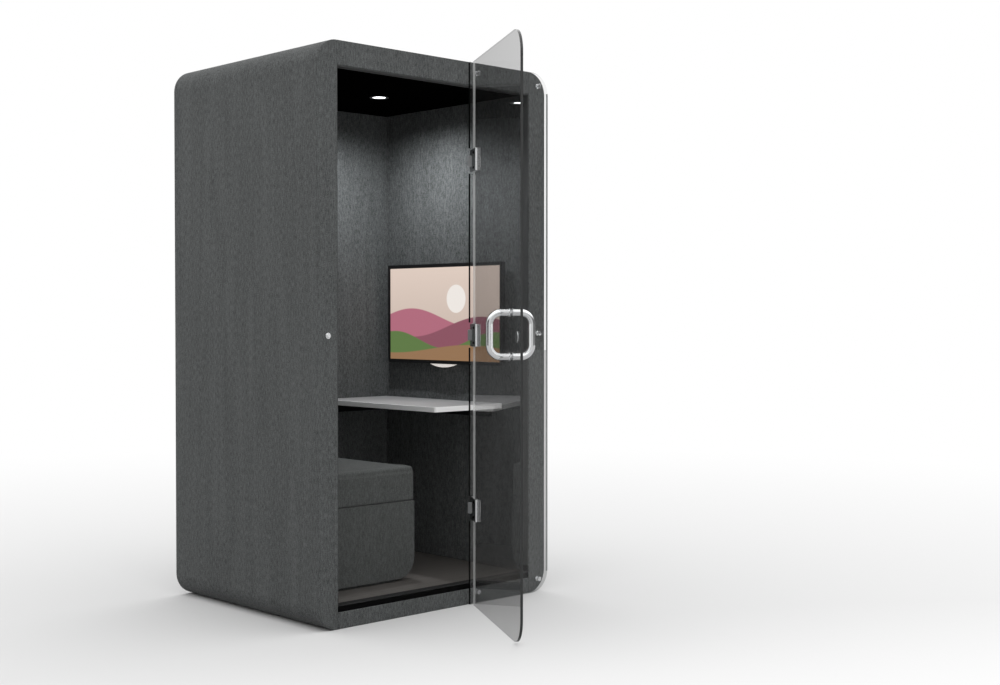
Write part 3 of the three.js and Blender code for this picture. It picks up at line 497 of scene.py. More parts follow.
@once
def clear_edge_finish(name, rgb):
    """Ground glass edge through which most of what lies behind it shows"""
    edge = Finish(name)
    grind = edge.noise((900, 900, 70), detail=2.0)
    edge.set(Base_Color=edge.tint(grind, rgb, 0.85, 1.1), Roughness=0.3)
    clear = edge.node("ShaderNodeBsdfTransparent")
    seen_through = 0.66
    edge.blend(seen_through, edge.shader, clear, edge.output)
    return edge.material


@once
def chrome_finish(name, rgb, blur=0.035):
    """Chrome with the faintest polishing haze, over a given blur"""
    chrome = Finish(name)
    haze = chrome.noise((35, 35, 35), detail=4.0)
    chrome.set(
        Base_Color=chrome.tint(haze, rgb, 0.95, 1.03),
        Metallic=1.0,
        Roughness=chrome.between(haze, blur, blur + 0.05),
    )
    return chrome.material


@once
def steel_finish(name, rgb):
    """Zinc plated steel with a drawn grain"""
    steel = Finish(name)
    drawn = steel.noise((40, 40, 900), detail=3.0)
    spangle = steel.noise((60, 60, 60), detail=2.0)
    steel.set(
        Base_Color=steel.tint(spangle, rgb, 0.8, 1.1),
        Metallic=1.0,
        Roughness=steel.between(drawn, 0.28, 0.45),
    )
    steel.bump(drawn, 0.0001, 0.2)
    return steel.material


@once
def plastic_finish(name, rgb):
    """Moulded plastic with a fine spark-eroded grain"""
    plastic = Finish(name)
    grain = plastic.noise((1400, 1400, 1400), detail=2.0)
    cloud = plastic.noise((14, 14, 14), detail=2.0)
    plastic.set(
        Base_Color=plastic.tint(cloud, rgb, 0.85, 1.2),
        Roughness=plastic.between(grain, 0.36, 0.52),
    )
    plastic.bump(grain, 0.0001, 0.35)
    return plastic.material


@once
def lens_finish(name, rgb):
    """Lit opal lens with a faint cloud in it"""
    lens = Finish(name)
    cloud = lens.noise((60, 60, 60), detail=1.0)
    lens.set(
        Base_Color=lens.mixed(cloud, shade(rgb, 0.94), rgb),
        Roughness=0.35,
        Emission_Color=opaque(rgb),
        Emission_Strength=6.0,
    )
    return lens.material


@once
def painted_glow_strip_finish(name, rgb):
    """Silver strip with a painted glow: a faint emission, though no lamp is in it, that stands in for the
    bright reflection it shows
    """
    strip = Finish(name)
    brushed = strip.noise((60, 30, 900), detail=2.0)
    strip.set(
        Base_Color=strip.mixed(brushed, shade(rgb, 0.85), rgb),
        Metallic=0.5,
        Roughness=strip.between(brushed, 0.25, 0.4),
        # Painted glow: this emission stands in for the strip's bright reflection, not for a lamp
        Emission_Color=opaque(rgb),
        Emission_Strength=0.55,
    )
    return strip.material


@once
def picture_finish(name, low, high, colours):
    """Lit panel with layered hills, a pale disc and a fine pixel grid"""
    panel = Finish(name)
    split = panel.node("ShaderNodeSeparateXYZ", {"Vector": panel.place})
    width = high.y - low.y
    height = high.z - low.z
    across = panel.math("DIVIDE", panel.math("SUBTRACT", high.y, split.outputs["Y"]), width)
    up = panel.math("DIVIDE", panel.math("SUBTRACT", split.outputs["Z"], low.z), height)

    def hill(base, swing, waves, start):
        """1 under a wavy line across the picture"""
        phase = panel.math("MULTIPLY_ADD", across, waves * math.tau, start)
        line = panel.math("MULTIPLY_ADD", panel.math("SINE", phase), swing, base)
        return panel.edge(panel.math("SUBTRACT", line, up), 0.0, 0.012)

    def disc(centre, radius):
        run = panel.math("MULTIPLY", panel.math("SUBTRACT", across, centre[0]), width / height)
        rise = panel.math("SUBTRACT", up, centre[1])
        squares = panel.math("ADD", panel.math("POWER", run, 2.0), panel.math("POWER", rise, 2.0))
        far = panel.math("SQRT", squares)
        return panel.math("SUBTRACT", 1.0, panel.edge(far, radius, 0.012))

    sky = panel.tint(up, colours.screen_wall, 0.82, 1.12)
    image = panel.mixed(disc((0.62, 0.66), 0.15), sky, colours.screen_white)
    layers = (
        (hill(0.46, 0.10, 0.9, 0.4), shade(colours.screen_mauve, 1.7)),
        (hill(0.36, 0.11, 0.8, 3.6), colours.screen_mauve),
        (hill(0.22, 0.09, 1.1, 1.2), colours.screen_green),
        (hill(0.12, 0.05, 0.7, 4.6), colours.screen_brown),
    )
    for inside, rgb in layers:
        image = panel.mixed(inside, image, rgb)
    grain = panel.noise((1500, 1500, 1500), detail=1.0)
    image = panel.mixed(panel.between(grain, 0.0, 0.08), image, (0.0, 0.0, 0.0))
    panel.set(
        Base_Color=(0.01, 0.01, 0.011, 1.0),
        Roughness=0.22,
        Emission_Color=image,
        Emission_Strength=1.0,
    )
    return panel.material


# Shaping helpers

def settings(context):
    """The sizes and the colours that the user has set"""
    return context.scene.pod_sizes, context.scene.pod_colours


def body_of(node):
    """The name of the body that a node belongs to"""
    return nodes[node]["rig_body"]


def paint(node, material):
    """Gives a carried-over solid its finish"""
    nodes[node].data.materials.clear()
    nodes[node].data.materials.append(material)


def settle(name, shape, materials, body, stands_for=(), crease=35.0):
    """Turns a finished bmesh into a piece that rides on a body"""
    mesh = bpy.data.meshes.new(name)
    shape.to_mesh(mesh)
    shape.free()
    if crease:
        mesh.shade_smooth()
        mesh.set_sharp_from_angle(angle=math.radians(crease))
    else:
        mesh.shade_flat()
    for material in materials:
        mesh.materials.append(material)
    piece = bpy.data.objects.new(name, mesh)
    bpy.context.scene.collection.objects.link(piece)
    if crease:
        shading = piece.modifiers.new("Flat faces stay flat", "WEIGHTED_NORMAL")
        shading.keep_sharp = True
    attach(piece, body)
    if stands_for:
        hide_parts(*stands_for)
    return piece


def merged_copy(node):
    """A copy of a solid with its loose triangles joined into whole flat faces"""
    shape = bmesh.new()
    shape.from_mesh(nodes[node].data)
    bmesh.ops.remove_doubles(shape, verts=shape.verts, dist=1e-5)
    bmesh.ops.dissolve_limit(
        shape,
        angle_limit=math.radians(0.5),
        verts=shape.verts,
        edges=shape.edges,
        use_dissolve_boundaries=False,
    )
    return shape


def soften(shape, radius, segments=3, edges=None):
    """Rounds the given edges, or else all sharp ones"""
    sharp = math.radians(40.0)
    if edges is None:
        edges = [e for e in shape.edges if e.is_manifold and e.calc_face_angle(0.0) > sharp]
    bmesh.ops.bevel(
        shape,
        geom=edges,
        offset=radius,
        offset_type="OFFSET",
        segments=segments,
        profile=0.5,
        affect="EDGES",
        clamp_overlap=True,
        material=-1,
    )


def softened(node, radius, material, segments=3):
    """A copy of a solid with rounded edges, which stands for it"""
    shape = merged_copy(node)
    soften(shape, radius, segments)
    return settle(f"{node}_finished", shape, [material], body_of(node), [node])


def close_up(shape):
    """Joins doubles, closes open rims and points the faces outwards"""
    bmesh.ops.remove_doubles(shape, verts=shape.verts, dist=1e-6)
    rims = [e for e in shape.edges if e.is_boundary]
    if rims:
        bmesh.ops.holes_fill(shape, edges=rims, sides=0)
    bmesh.ops.recalc_face_normals(shape, faces=shape.faces)


def add_turned(shape, profile, place, sides):
    """Spins a profile of radius and height points round Z, then puts it in place"""
    before = set(shape.verts)
    verts = [shape.verts.new((radius, 0.0, height)) for radius, height in profile]
    edges = [shape.edges.new(pair) for pair in zip(verts, verts[1:])]
    bmesh.ops.spin(
        shape,
        geom=verts + edges,
        cent=(0, 0, 0),
        axis=(0, 0, 1),
        angle=math.tau,
        steps=sides,
        use_merge=True,
        use_duplicate=False,
    )
    made = [v for v in shape.verts if v not in before]
    bmesh.ops.remove_doubles(shape, verts=made, dist=1e-6)
    made = [v for v in shape.verts if v not in before]
    bmesh.ops.transform(shape, matrix=place, verts=made)
    faces = [f for f in shape.faces if all(v not in before for v in f.verts)]
    bmesh.ops.recalc_face_normals(shape, faces=faces)


def towards(point, direction):
    """A place whose own Z points along a direction"""
    turn = Vector((0, 0, 1)).rotation_difference(Vector(direction)).to_matrix().to_4x4()
    return Matrix.Translation(point) @ turn


def door_place():
    """Carries a piece from the closed door to where the door stands at rest"""
    turn = Matrix.Rotation(door_swing, 4, "Z")
    return Matrix.Translation(hinge_point) @ turn @ Matrix.Translation(-hinge_point)


def middle(node):
    """The middle of a node's box"""
    low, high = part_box(node)
    return (low + high) / 2


# Pieces

class POD_OT_walls(bpy.types.Operator):
    """Covers the three walls with cloth and fills them with their cores"""

    bl_idname = "pod.walls"
    bl_label = "Walls"

    def execute(self, context):
        sizes, colours = settings(context)
        cloth = cloth_finish("wall cloth", colours.wall_fabric)
        core = core_finish("mineral wool", colours.core)
        for side in ("left", "right", "back"):
            softened(f"{side}_outer_shell", sizes.fabric_edge, cloth)
            softened(f"{side}_inner_lining", sizes.fabric_edge, cloth)
            paint(f"{side}_acoustic_core", core)
        return {"FINISHED"}


class POD_OT_roof(bpy.types.Operator):
    """Covers the roof and its front band, and blackens the ceiling"""

    bl_idname = "pod.roof"
    bl_label = "Roof and ceiling"

    def execute(self, context):
        sizes, colours = settings(context)
        cloth = cloth_finish("wall cloth", colours.wall_fabric)
        softened("roof_tray", sizes.fabric_edge, cloth)
        softened("front_top_fascia", sizes.fabric_edge, cloth)
        paint("ceiling_board", felt_finish("ceiling felt", colours.ceiling))
        return {"FINISHED"}


class POD_OT_base(bpy.types.Operator):
    """Finishes the base, feet, floor, sill, lower band and doorway seal"""

    bl_idname = "pod.base"
    bl_label = "Base and floor"

    def execute(self, context):
        sizes, colours = settings(context)
        cloth = cloth_finish("wall cloth", colours.wall_fabric)
        steel = steel_finish("plated steel", colours.steel)
        softened("front_bottom_fascia", sizes.fabric_edge, cloth)
        matt = 0.02
        sill_coat = coated_finish("sill coat", colours.sill, matt)
        softened("threshold_sill", sizes.board_edge, sill_coat)
        paint("base_frame", chipboard_finish("chipboard", colours.board))
        paint("floor_board", floor_finish("floor laminate", colours.floor))
        self.fit_seal(sizes, colours)
        for number in range(1, 5):
            softened(f"levelling_foot_{number}", sizes.metal_edge, steel, 2)
        return {"FINISHED"}

    def fit_seal(self, sizes, colours):
        """A seal in the rubber's own black along the sill, with grey on the jambs and the head that is
        painted light
        """
        seal = merged_copy("doorway_seal")
        run_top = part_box("doorway_seal")[0][2] + sizes.sill_seal_height
        parts = [*seal.verts, *seal.edges, *seal.faces]
        bmesh.ops.bisect_plane(seal, geom=parts, plane_co=(0.0, 0.0, run_top), plane_no=(0.0, 0.0, 1.0))
        for face in seal.faces:
            face.material_index = int(face.calc_center_median().z < run_top)
        # Painted light: the grey stands in for light on the jambs and the head
        grey = rubber_finish("seal rubber", colours.seal)
        black = rubber_finish("sill seal rubber", colours.sill_seal)
        body = body_of("doorway_seal")
        settle("doorway_seal_finished", seal, [grey, black], body, ["doorway_seal"])


class POD_OT_bench(bpy.types.Operator):
    """Covers the bench and inflates its cushion"""

    bl_idname = "pod.bench"
    bl_label = "Bench and cushion"

    def execute(self, context):
        sizes = context.scene.pod_sizes
        even = 0.6
        cloth = cloth_finish("seat cloth", context.scene.pod_colours.seat_fabric, even)
        softened("bench_base", sizes.bench_edge, cloth, 4)
        cushion = start_cushion(sizes, cloth)
        inflate(cushion, sizes)
        keep_inside(cushion, "seat_cushion")
        return {"FINISHED"}


def start_cushion(sizes, cloth):
    """The cushion before it is inflated: a rounded block, a little smaller than its space"""
    low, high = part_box("seat_cushion")
    slack = Vector((sizes.cushion_slack, sizes.cushion_slack, 0.0))
    low = low + slack
    high = high - slack - Vector((0.0, 0.0, sizes.cushion_swell))
    shape = bmesh.new()
    bmesh.ops.create_cube(shape, size=1.0)
    bmesh.ops.scale(shape, vec=high - low, verts=shape.verts)
    bmesh.ops.translate(shape, vec=(low + high) / 2, verts=shape.verts)
    bottom = min(v.co.z for v in shape.verts)
    upper = [e for e in shape.edges if max(v.co.z for v in e.verts) > bottom]
    soften(shape, sizes.cushion_round, 4, upper)
    body = body_of("seat_cushion")
    cushion = settle("seat_cushion_cover", shape, [cloth], body, ["seat_cushion"])
    remesh = cushion.modifiers.new("Even mesh", "REMESH")
    remesh.mode = "VOXEL"
    remesh.voxel_size = sizes.cushion_voxel
    remesh.use_smooth_shade = True
    apply_modifiers(cushion)
    return cushion


def apply_modifiers(piece):
    """Bakes a piece's modifiers into its mesh"""
    graph = bpy.context.evaluated_depsgraph_get()
    mesh = bpy.data.meshes.new_from_object(piece.evaluated_get(graph))
    materials = list(piece.data.materials)
    piece.modifiers.clear()
    piece.data = mesh
    mesh.materials.clear()
    for material in materials:
        mesh.materials.append(material)
    mesh.shade_smooth()


def inflate(cushion, sizes):
    """Inflates the top of the cover with a cloth simulation, while its foam holds it below"""
    pressure = 4.0
    last_frame = 20
    start = [v.co.copy() for v in cushion.data.vertices]
    foam_top = max(co.z for co in start) - sizes.cushion_free
    held = cushion.vertex_groups.new(name="held")
    held.add([i for i, co in enumerate(start) if co.z < foam_top], 1.0, "REPLACE")
    cloth = cushion.modifiers.new("Cover", "CLOTH")
    cloth.settings.use_pressure = True
    cloth.settings.uniform_pressure_force = pressure
    cloth.settings.effector_weights.gravity = 0.0
    cloth.settings.vertex_group_mass = held.name
    scene = bpy.context.scene
    for step in range(1, last_frame + 1):
        scene.frame_set(step)
    apply_modifiers(cushion)
    scene.frame_set(1)
    for vertex, origin in zip(cushion.data.vertices, start):
        move = vertex.co - origin
        if move.length > sizes.cushion_swell:
            vertex.co = origin + move.normalized() * sizes.cushion_swell


def keep_inside(piece, node):
    """Keeps a soft piece in the space of its solid"""
    low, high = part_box(node)
    for vertex in piece.data.vertices:
        vertex.co = Vector(max(a, min(b, c)) for a, b, c in zip(low, high, vertex.co))


class POD_OT_table(bpy.types.Operator):
    """Finishes the wall table and the cleats that carry it"""

    bl_idname = "pod.table"
    bl_label = "Table"

    def execute(self, context):
        sizes, colours = settings(context)
        shape = merged_copy("table_top")
        soften(shape, sizes.board_edge)
        # Sides take the edge band colour, which carries painted light as well as the band's own white
        for face in shape.faces:
            face.material_index = 0 if abs(face.normal.z) > 0.9 else 1
        laminate = laminate_finish("table laminate", colours.table)
        band = laminate_finish("table edge band", colours.table_band_painted_light)
        body = body_of("table_top")
        settle("table_top_finished", shape, [laminate, band], body, ["table_top"])
        coat = coated_finish("cleat coat", colours.plastic)
        for node in ("table_side_cleat", "table_back_cleat"):
            softened(node, sizes.metal_edge, coat, 2)
        return {"FINISHED"}


class POD_OT_screen(bpy.types.Operator):
    """Finishes the wall screen and lights its picture"""

    bl_idname = "pod.screen"
    bl_label = "Screen"

    def execute(self, context):
        sizes, colours = settings(context)
        plastic = plastic_finish("moulded plastic", colours.plastic)
        # The chin's strip carries a painted glow that stands in for its bright reflection
        strip = painted_glow_strip_finish("lit strip", colours.screen_white)
        steel = steel_finish("plated steel", colours.steel)
        softened("screen_bezel", sizes.plastic_edge, plastic)
        softened("screen_housing", sizes.plastic_edge, plastic)
        softened("screen_chin", sizes.plastic_edge, strip)
        softened("screen_wall_bracket", sizes.metal_edge, steel, 2)
        low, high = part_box("screen_panel")
        paint("screen_panel", picture_finish("screen picture", low, high, colours))
        return {"FINISHED"}


class POD_OT_fixed_glass(bpy.types.Operator):
    """Grinds the fixed pane's edges and turns its stand-offs"""

    bl_idname = "pod.fixed_glass"
    bl_label = "Fixed glass"

    def execute(self, context):
        sizes, colours = settings(context)
        chrome = chrome_finish("chrome", colours.chrome)
        # Painted reflection: the fixed pane's dark edge stands in for the cabin mirrored in it
        dark_edge = glass_edge_finish("blackened edge", colours.glass_edge)
        pale_edge = glass_edge_finish("ground edge", colours.fixed_edge)
        finish_pane("fixed_glass", Vector((-1, 0, 0)), (dark_edge, pale_edge), sizes, colours)
        for number in range(1, 6):
            turn_stand_off(f"stand_off_{number}", sizes, chrome)
        return {"FINISHED"}


def finish_pane(node, dark_side, edges, sizes, colours):
    """A pane with ground arrises, and with a dark edge of painted reflection on one side and a pale one on
    the other
    """
    shape = merged_copy(node)
    soften(shape, sizes.glass_arris, 1)
    shape.normal_update()
    for face in shape.faces:
        lean = face.normal.dot(dark_side)
        # Faces on the dark side take the edge colour that carries painted reflection
        face.material_index = 1 if lean > 0.3 else 2 if lean < -0.99 else 0
    glass = glass_finish("clear glass", colours.glass)
    settle(f"{node}_finished", shape, [glass, *edges], body_of(node), [node], 0.0)


def turn_stand_off(node, sizes, chrome):
    """A stand-off: body behind the glass, stem through it, and a cap with a rounded rim and a socket"""
    low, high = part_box(node)
    pane_low, pane_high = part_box("fixed_glass")
    centre = middle(node)
    radius = (high.x - low.x) / 2
    clear = sizes.glass_clearance
    body = high.y - pane_high.y - clear
    cap = high.y - pane_low.y + clear
    end = high.y - low.y
    rim = radius * 0.16
    socket = radius * 0.32
    profile = [
        (0.0, 0.0),
        (radius - rim, 0.0),
        (radius, rim),
        (radius, body - rim / 2),
        (radius - rim / 2, body),
        (radius * 0.4, body),
        (radius * 0.4, cap),
        (radius - rim / 2, cap),
        (radius, cap + rim / 2),
        (radius, end - rim),
        (radius - rim * 0.3, end - rim * 0.3),
        (radius - rim, end),
        (socket, end),
        (socket * 0.86, end - rim),
        (0.0, end - rim),
    ]
    shape = bmesh.new()
    place = towards((centre.x, high.y, centre.z), (0, -1, 0))
    add_turned(shape, profile, place, sizes.round_sides)
    settle(f"{node}_turned", shape, [chrome], "cabin", [node], 30.0)


class POD_OT_door(bpy.types.Operator):
    """Finishes the door glass and hangs it on its hinges"""

    bl_idname = "pod.door"
    bl_label = "Door and hinges"

    def execute(self, context):
        sizes, colours = settings(context)
        free_side = door_place().to_3x3() @ Vector((-1, 0, 0))
        # Painted reflection: the door's dark free edge stands in for the cabin mirrored in it
        dark_edge = glass_edge_finish("smoked edge", colours.door_edge)
        pale_edge = clear_edge_finish("clear edge", colours.ground_edge)
        finish_pane("door_glass", free_side, (dark_edge, pale_edge), sizes, colours)
        chrome = chrome_finish("chrome", colours.chrome)
        steel = steel_finish("plated steel", colours.steel)
        cast = plastic_finish("cast metal", colours.cast)
        blackened = steel_finish("blackened steel", colours.blackened)
        for number in hinge_numbers:
            softened(f"hinge_{number}_fixed_clamp", sizes.metal_edge, cast, 2)
            softened(f"hinge_{number}_door_clamp", sizes.metal_edge, chrome, 2)
            softened(f"hinge_{number}_pin", sizes.metal_edge / 2, steel, 2)
        fixed_places = (sizes.fixed_screw, -sizes.fixed_face, sizes.fixed_face, sizes.fixed_rise)
        door_places = (-sizes.door_screw, -sizes.door_outer_face, sizes.door_inner_face, sizes.door_rise)
        add_hinge_screws("cabin", fixed_places, Matrix.Identity(4), sizes, blackened)
        add_hinge_screws("door", door_places, door_place(), sizes, blackened)
        return {"FINISHED"}


def add_hinge_screws(body, places, place, sizes, finish):
    """Socket screws on the outer and the inner face of the clamps of one body"""
    shape = bmesh.new()
    head = sizes.screw_radius
    profile = [
        (0.0, 0.0),
        (head, 0.0),
        (head, head * 0.22),
        (head * 0.85, head * 0.4),
        (head * 0.5, head * 0.4),
        (head * 0.42, head * 0.1),
        (0.0, head * 0.1),
    ]
    run, outer, inner, rise = places
    for number in hinge_numbers:
        level = middle(f"hinge_{number}_pin").z
        for z in (level - rise, level + rise):
            for face in (outer, inner):
                point = (hinge_point.x + run, hinge_point.y + face, z)
                seat = towards(point, (0, math.copysign(1, face), 0))
                add_turned(shape, profile, place @ seat, sizes.round_sides // 2)
    settle(f"hinge_screws_{body}", shape, [finish], body, (), 30.0)


class POD_OT_handles(bpy.types.Operator):
    """Bends the two pull handles and rounds the edges of the door catch"""

    bl_idname = "pod.handles"
    bl_label = "Handles and catch"

    def execute(self, context):
        sizes = context.scene.pod_sizes
        chrome = chrome_finish("chrome", context.scene.pod_colours.chrome)
        pane_low, pane_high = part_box("fixed_glass")
        bend_handle("outer_pull_handle", pane_low.y, -1, sizes, chrome)
        bend_handle("inner_pull_handle", pane_high.y, 1, sizes, chrome)
        softened("door_keeper_disc", sizes.metal_edge, chrome, 3)
        softened("catch_stud", sizes.metal_edge, chrome, 3)
        return {"FINISHED"}


def bend_handle(node, face, outwards, sizes, chrome):
    """A bent tube handle: two legs, two bends and a grip, on turned flanges"""
    shape = bmesh.new()
    radius = sizes.handle_tube / 2
    rise = sizes.handle_height / 2 - radius
    bend = sizes.handle_bend
    x = cad_low.x + sizes.handle_inset
    z = middle(node).z
    reach = outwards * (sizes.handle_reach - radius)
    gap = outwards * sizes.handle_start
    leg = reach - outwards * bend - gap
    ring = bmesh.ops.create_circle(shape, radius=radius, segments=32)["verts"]
    start = towards((x, face + gap, z - rise), (0, outwards, 0))
    bmesh.ops.transform(shape, matrix=start, verts=ring)
    edges = list(shape.edges)
    edges = pull(shape, edges, (0, leg, 0))
    corner = (x, face + reach - outwards * bend, z - rise + bend)
    edges = swing(shape, edges, corner, outwards)
    edges = pull(shape, edges, (0, 0, 2 * (rise - bend)))
    corner = (x, face + reach - outwards * bend, z + rise - bend)
    edges = swing(shape, edges, corner, outwards)
    pull(shape, edges, (0, -leg, 0))
    close_up(shape)
    add_flanges(shape, (x, face, z), rise, outwards, sizes)
    if outwards < 0:
        add_bolts(shape, (x, face, z), rise, sizes)
    bmesh.ops.transform(shape, matrix=door_place(), verts=shape.verts)
    settle(f"{node}_bent", shape, [chrome], "door", [node], 30.0)


def pull(shape, edges, move):
    """Draws a ring of edges out straight and returns the new ring"""
    drawn = bmesh.ops.extrude_edge_only(shape, edges=edges)["geom"]
    verts = [g for g in drawn if isinstance(g, bmesh.types.BMVert)]
    bmesh.ops.translate(shape, vec=move, verts=verts)
    return [g for g in drawn if isinstance(g, bmesh.types.BMEdge)]


def swing(shape, edges, centre, outwards):
    """Draws a ring of edges round a quarter bend and returns the new ring"""
    verts = list({v for e in edges for v in e.verts})
    drawn = bmesh.ops.spin(
        shape,
        geom=verts + edges,
        cent=centre,
        axis=(outwards, 0, 0),
        angle=math.pi / 2,
        steps=14,
        use_merge=False,
        use_duplicate=False,
    )["geom_last"]
    return [g for g in drawn if isinstance(g, bmesh.types.BMEdge)]


def add_flanges(shape, centre, rise, outwards, sizes):
    """A turned flange with a rounded shoulder at each foot of a handle"""
    x, face, z = centre
    wide = sizes.flange_radius
    tube = sizes.handle_tube / 2
    thick = sizes.flange_thickness
    clear = sizes.glass_clearance
    profile = [
        (0.0, clear),
        (wide, clear),
        (wide, thick * 0.55),
        (wide - thick * 0.2, thick * 0.85),
        (wide - thick * 0.5, thick),
        (tube * 0.9, thick),
        (0.0, thick),
    ]
    for height in (z - rise, z + rise):
        add_turned(shape, profile, towards((x, face, height), (0, outwards, 0)), sizes.round_sides)


def add_bolts(shape, centre, rise, sizes):
    """The bolts that join the two handles through the pane"""
    x, face, z = centre
    pane_low, pane_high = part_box("fixed_glass")
    through = pane_high.y - pane_low.y
    shank = sizes.bolt_radius
    profile = [(0.0, 0.0), (shank, 0.0), (shank, through), (0.0, through)]
    for height in (z - rise, z + rise):
        add_turned(shape, profile, towards((x, face, height), (0, 1, 0)), sizes.round_sides // 2)


class POD_OT_ventilation(bpy.types.Operator):
    """Finishes the fan and the two grilles"""

    bl_idname = "pod.ventilation"
    bl_label = "Ventilation"

    def execute(self, context):
        sizes = context.scene.pod_sizes
        plastic = plastic_finish("moulded plastic", context.scene.pod_colours.plastic)
        for node in ("ceiling_grille", "roof_grille"):
            softened(node, sizes.plastic_edge / 2, plastic, 2)
        for node in ("fan_frame", "fan_rotor"):
            paint(node, plastic)
        return {"FINISHED"}


class POD_OT_lamp(bpy.types.Operator):
    """Finishes the downlight, its driver and the mains inlet"""

    bl_idname = "pod.lamp"
    bl_label = "Lamp and power"

    def execute(self, context):
        sizes, colours = settings(context)
        trim = plastic_finish("lamp trim", colours.lamp_trim)
        softened("downlight_trim", sizes.plastic_edge / 2, trim, 2)
        paint("downlight_lens", lens_finish("lamp lens", colours.lamp_light))
        paint("downlight_can", steel_finish("plated steel", colours.steel))
        case = plastic_finish("driver case", colours.driver_case)
        softened("driver_box", sizes.plastic_edge, case)
        plastic = plastic_finish("moulded plastic", colours.plastic)
        softened("mains_inlet", sizes.plastic_edge / 2, plastic, 2)
        return {"FINISHED"}


class POD_OT_stage(bpy.types.Operator):
    """Sets the pod on a pale studio floor, with its light and camera"""

    bl_idname = "pod.stage"
    bl_label = "Stage"

    def execute(self, context):
        scene = context.scene
        scene.view_settings.view_transform = "Standard"
        floor = lay_floor(scene)
        light_world(scene)
        light_lamp(scene, floor)
        place_camera(scene)
        return {"FINISHED"}


def lay_floor(scene):
    """A pale floor that keeps the pod's shadow and fades to white away from it and towards the camera"""
    shape = bmesh.new()
    bmesh.ops.create_grid(shape, x_segments=2, y_segments=2, size=scene.pod_sizes.floor_size / 2)
    mesh = bpy.data.meshes.new("studio_floor")
    shape.to_mesh(mesh)
    shape.free()
    floor = bpy.data.objects.new("studio_floor", mesh)
    scene.collection.objects.link(floor)
    ground = Finish("studio floor")
    far = ground.node("ShaderNodeVectorMath", {0: ground.place}, operation="LENGTH").outputs["Value"]
    path = ground.node("ShaderNodeLightPath").outputs
    bounced = ground.math("MAXIMUM", path["Is Diffuse Ray"], path["Is Glossy Ray"])
    tone = ground.mixed(bounced, scene.pod_colours.studio, scene.pod_colours.bounce)
    ground.set(Base_Color=tone, Roughness=1.0, Specular_IOR_Level=0.0)
    white = ground.node("ShaderNodeEmission", {"Color": (1.0, 1.0, 1.0, 1.0), "Strength": 1.0})
    front = (-0.35, -0.94, 0.0)
    ahead = ground.node("ShaderNodeVectorMath", {0: ground.place, 1: front}, operation="DOT_PRODUCT")
    near = ground.edge(ahead.outputs["Value"], 1.7, 1.8)
    fade = ground.math("MAXIMUM", ground.edge(far, 4.2, 5.6), near)
    faded = ground.math("MULTIPLY", fade, ground.math("SUBTRACT", 1.0, bounced))
    ground.blend(faded, ground.shader, white, ground.output)
    mesh.materials.append(ground.material)
    return floor


def light_world(scene):
    """Light from above and from the left, against a backdrop that the camera sees as white"""
    sizes = scene.pod_sizes
    world = bpy.data.worlds.new("studio light")
    sky = Nodes(world)
    direction = sky.node("ShaderNodeTexCoord").outputs["Generated"]
    split = sky.node("ShaderNodeSeparateXYZ", {"Vector": direction}).outputs
    panels = sky.edge(sky.math("ABSOLUTE", split["Y"]), sizes.sky_gap, 0.12)
    left = sky.math("MULTIPLY", panels, sizes.sky_left)
    low = sky.between(sky.edge(split["X"], sizes.sky_turn, 0.6), left, sizes.sky_right)
    strength = sky.between(sky.edge(split["Z"], sizes.sky_edge, sizes.sky_edge), low, sizes.sky_strength)
    leaning = sky.math("MULTIPLY", strength, sky.math("MULTIPLY_ADD", split["X"], sizes.sky_lean, 1.0))
    light = sky.tree.nodes["Background"]
    sky.feed(light.inputs["Color"], (1.0, 1.0, 1.0, 1.0))
    sky.feed(light.inputs["Strength"], leaning)
    white = sky.node("ShaderNodeBackground", {"Color": (1.0, 1.0, 1.0, 1.0), "Strength": 1.0})
    path = sky.node("ShaderNodeLightPath").outputs
    seen = sky.math("MAXIMUM", path["Is Camera Ray"], path["Is Transmission Ray"])
    sky.blend(seen, light, white, sky.tree.nodes["World Output"])
    scene.world = world


def light_lamp(scene, floor):
    """The light that the downlight throws into the cabin, but not on the studio floor"""
    low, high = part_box("downlight_lens")
    trim_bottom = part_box("downlight_trim")[0].z
    light = bpy.data.lights.new("downlight", "SPOT")
    light.shadow_soft_size = (high.x - low.x) / 2
    light.energy = scene.pod_sizes.lamp_power
    light.color = scene.pod_colours.lamp_light
    light.spot_size = scene.pod_sizes.lamp_spread
    light.spot_blend = scene.pod_sizes.lamp_blend
    lamp = bpy.data.objects.new("downlight", light)
    lamp.location = ((low.x + high.x) / 2, (low.y + high.y) / 2, trim_bottom - 0.001)
    lamp.visible_glossy = False
    unlit = bpy.data.collections.new("not lit by the lamp")
    unlit.objects.link(floor)
    unlit.collection_objects[0].light_linking.link_state = "EXCLUDE"
    lamp.light_linking.receiver_collection = unlit
    scene.collection.objects.link(lamp)


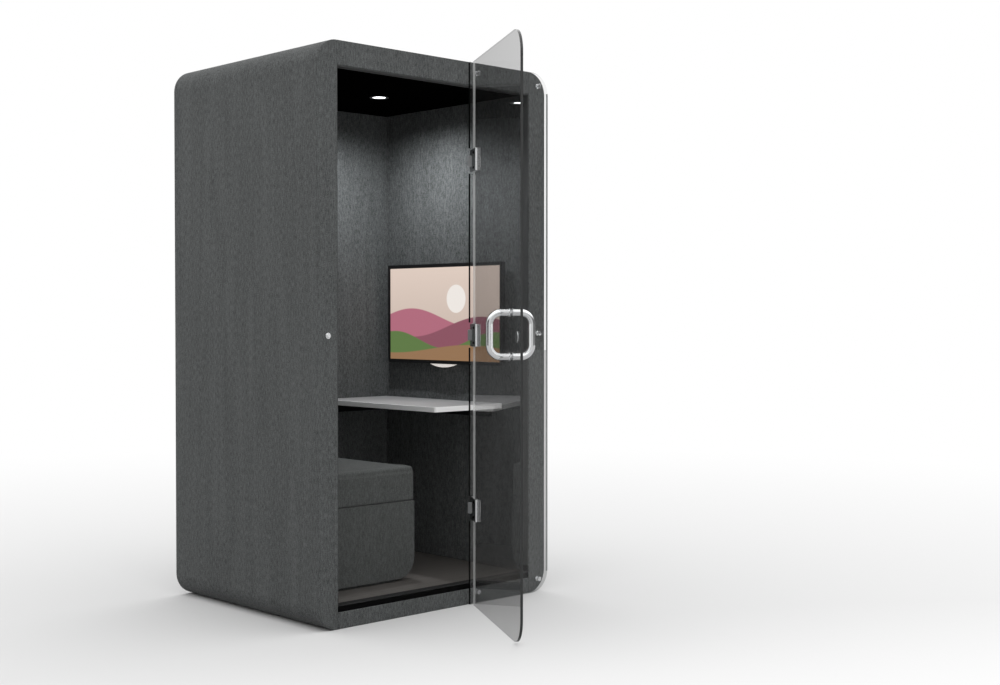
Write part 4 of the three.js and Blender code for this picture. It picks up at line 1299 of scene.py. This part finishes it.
def place_camera(scene):
    """The camera of the product picture"""
    sizes = scene.pod_sizes
    data = bpy.data.cameras.new("camera")
    data.sensor_fit = "HORIZONTAL"
    data.sensor_width = 36.0
    data.lens = sizes.lens
    data.clip_end = 200.0
    camera = bpy.data.objects.new("camera", data)
    camera.location = (sizes.camera_x, sizes.camera_y, sizes.camera_height)
    camera.rotation_euler = (math.pi / 2 - sizes.camera_tilt, 0.0, -sizes.camera_turn)
    scene.collection.objects.link(camera)
    scene.camera = camera


# Add-on parts

steps = (
    POD_OT_walls,
    POD_OT_roof,
    POD_OT_base,
    POD_OT_bench,
    POD_OT_table,
    POD_OT_screen,
    POD_OT_fixed_glass,
    POD_OT_door,
    POD_OT_handles,
    POD_OT_ventilation,
    POD_OT_lamp,
    POD_OT_stage,
)


class POD_PT_build(bpy.types.Panel):
    """Builds the pod step by step"""

    bl_idname = "POD_PT_build"
    bl_label = "Acoustic pod"
    bl_space_type = "VIEW_3D"
    bl_region_type = "UI"
    bl_category = "Pod"

    def draw(self, context):
        for step in steps:
            self.layout.operator(step.bl_idname)
        for group in (context.scene.pod_sizes, context.scene.pod_colours):
            box = self.layout.box()
            for name in group.__annotations__:
                box.prop(group, name)


classes = (PodSizes, PodColours, *steps, POD_PT_build)


def register():
    for cls in classes:
        bpy.utils.register_class(cls)
    bpy.types.Scene.pod_sizes = PointerProperty(type=PodSizes)
    bpy.types.Scene.pod_colours = PointerProperty(type=PodColours)


def unregister():
    del bpy.types.Scene.pod_colours
    del bpy.types.Scene.pod_sizes
    for cls in reversed(classes):
        bpy.utils.unregister_class(cls)


def main():
    register()
    bpy.ops.pod.walls()
    bpy.ops.pod.roof()
    bpy.ops.pod.base()
    bpy.ops.pod.bench()
    bpy.ops.pod.table()
    bpy.ops.pod.screen()
    bpy.ops.pod.fixed_glass()
    bpy.ops.pod.door()
    bpy.ops.pod.handles()
    bpy.ops.pod.ventilation()
    bpy.ops.pod.lamp()
    bpy.ops.pod.stage()


if __name__ == "__main__":
    main()
